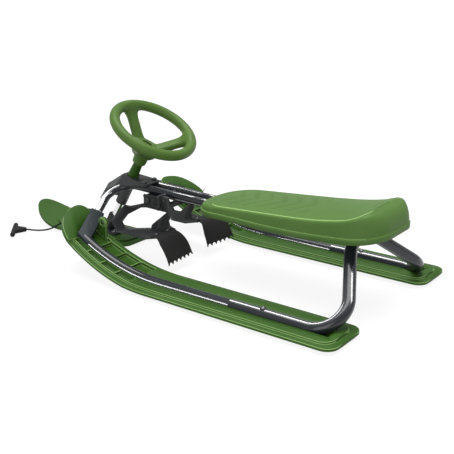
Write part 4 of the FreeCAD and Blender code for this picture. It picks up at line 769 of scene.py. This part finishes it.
moulder.closes(wheel, wheel_plastic)
wheel = moulder.grown("steering_wheel_finish", bpy.data.meshes.new("wheel_start"), Rim=0.0922, Tube=0.0236,
                      Dish=0.053, Width=0.026, Thick=0.015, Fillet=0.028)
fitted(wheel, "steering", "green_plastic", "steering_wheel")
dressed("wheel_bolt", "steering", "bright_steel", dull_steel, edge=0.0006)

# Front ski: a short ski of green plastic with a raised deck and an upturned tip, bolted to the foot of
# a welded steel fork that the column turns.

# The front ski's rounded edges carry the same painted highlight in its second material.
dressed("front_ski", "steering", "green_plastic", runner_plastic, edge_highlight_plastic, edge=0.0011)
dressed("steering_fork", "steering", "plate_lacquer", plate_lacquer, edge_highlight_lacquer, edge=0.0008)
places = [(x, side * 0.019, 0.021) for side in (1, -1) for x in (0.23153, 0.30553)]
set_bolts(bright_bolts, "ski_bolts", "steering", places, aim=(0, 0, 1),
          head_width=0.014, head=0.005, shank_width=0.008, shank=0.0147)

# Rope reel: a round housing and lid of black plastic clipped to the front ski, with a spool inside
# that winds the tow rope up.

for name, edge in (("reel_housing", 0.0010), ("reel_lid", 0.0012)):
    dressed(name, "steering", "black_plastic", black_plastic, edge=edge)
dressed("rope_spool", "spool", "black_plastic", black_plastic, edge=0.0004)

# Tow rope and handle: a thin black braided cord from the gland of the reel to a rounded delta handle
# of black plastic that lies on the snow.


def moulded_copy(node, voxel, passes):
    """A copy of a CAD node with its faces flowing into each other, as a thick moulding has them."""
    piece = rounded_copy(node, edge=0.0)
    piece.modifiers.clear()
    blended = piece.modifiers.new("moulding", "REMESH")
    blended.mode = "VOXEL"
    blended.voxel_size = voxel
    smooth = piece.modifiers.new("fillets", "SMOOTH")
    smooth.factor = 0.5
    smooth.iterations = passes
    return piece


rope_diameter = 0.004
rope_route = [
    (0.3673, 0.0300, 0.0258),
    (0.3740, 0.0416, 0.0256),
    (0.3806, 0.0515, 0.0234),
    (0.3888, 0.0575, 0.0180),
    (0.3980, 0.0604, 0.0118),
    (0.4080, 0.0634, 0.0062),
    (0.4172, 0.0710, 0.0032),
    (0.4288, 0.0840, 0.0030),
    (0.4430, 0.0940, 0.0040),
    (0.4525, 0.1030, 0.0063),
]
route = bpy.data.curves.new("tow_rope_line", "CURVE")
route.dimensions = "3D"
spline = route.splines.new("NURBS")
spline.points.add(len(rope_route) - 1)
for point, place in zip(spline.points, rope_route):
    point.co = (*place, 1.0)
spline.order_u = 3
spline.use_endpoint_u = True
spline.resolution_u = 12
route.bevel_depth = rope_diameter / 2
route.bevel_resolution = 4
route.use_fill_caps = True
rope = placed("tow_rope_cord", route)
rope_fibre = moulded_plastic("rope_fibre", linear(16, 16, 17), linear(30, 30, 31), grain=1500.0, rough=0.7)
route.materials.append(rope_fibre)
handle = plain_mesh(moulded_copy("tow_handle", voxel=0.0007, passes=10), black_plastic)
fitted(handle, "steering", "black_plastic", "tow_handle")
fitted(rope, "steering", "rope_fibre", "tow_rope")

# Studio: a plain pale floor, one large soft light from above with a weak fill at the near side, two
# long strips that draw the shine along the tubes alone, and a camera at the viewing angle.

floor_mesh = bpy.data.meshes.new("floor")
floor_half = 400.0
corners = [(x * floor_half, y * floor_half, 0) for x, y in ((-1, -1), (1, -1), (1, 1), (-1, 1))]
floor_mesh.from_pydata(corners, [], [(0, 1, 2, 3)])
floor = placed("floor", floor_mesh)
floor_paint, _, shader = new_material("floor_paint")
shader.inputs["Base Color"].default_value = (0.14, 0.14, 0.14, 1.0)
shader.inputs["Roughness"].default_value = 0.95
shader.inputs["Specular IOR Level"].default_value = 0.0
shader.inputs["Emission Color"].default_value = (1.0, 1.0, 1.0, 1.0)
shader.inputs["Emission Strength"].default_value = 0.88
floor_mesh.materials.append(floor_paint)
floor.visible_diffuse = False

world = bpy.data.worlds.new("studio")
bpy.context.scene.world = world
world.use_nodes = True
world.node_tree.nodes["Background"].inputs["Color"].default_value = (1.0, 1.0, 1.0, 1.0)
world.node_tree.nodes["Background"].inputs["Strength"].default_value = 0.5


def hung(name, kind, place, aim, power):
    """A light of a kind, aimed at a point."""
    lamp = bpy.data.lights.new(name, kind)
    lamp.energy = power
    stand = placed(name, lamp)
    stand.location = place
    stand.rotation_euler = (Vector(aim) - Vector(place)).to_track_quat("-Z", "Y").to_euler()
    return stand


sky = hung("sky", "SUN", (0.2, -0.15, 2.0), aim=(0, 0, 0), power=3.0)
sky.data.angle = math.radians(50)
strip_length, strip_width, strip_aim = 6.0, 0.7, 0.05
strips = (("back_strip", (0.8, -0.65, 1.85), 330.0, ("rear_hoop", "frame_tube_left", "frame_tube_right")),
          ("side_strip", (1.6, 2.6, 0.60), 400.0, ("runner_tube_left", "runner_tube_right")))
for name, place, power, nodes in strips:
    strip = hung(name, "AREA", place, aim=(place[0], 0, strip_aim), power=power)
    strip.data.shape = "RECTANGLE"
    strip.data.size = strip_length
    strip.data.size_y = strip_width
    strip.visible_diffuse = False
    strip.light_linking.receiver_collection = bpy.data.collections.new(name + "_tubes")
    for node in nodes:
        strip.light_linking.receiver_collection.objects.link(bpy.data.objects[node + "_finish"])
fill = hung("fill", "AREA", (-0.9, 2.4, 0.9), aim=(-0.1, 0, 0.1), power=17.0)
fill.data.size = 1.6

view_azimuth = math.radians(216.4816)
view_elevation = math.radians(18.527)
view_distance = 2.15909
view_target = Vector((0.072, -0.22382, 0.0))
back = Vector((math.sin(view_azimuth) * math.cos(view_elevation),
               -math.cos(view_azimuth) * math.cos(view_elevation), math.sin(view_elevation)))
camera = placed("camera", bpy.data.cameras.new("camera"))
camera.data.lens = 67.4
camera.data.sensor_width = 36.0
camera.location = view_target + back * view_distance
camera.rotation_euler = (-back).to_track_quat("-Z", "Y").to_euler()
bpy.context.scene.camera = camera
bpy.context.scene.view_settings.view_transform = "Standard"
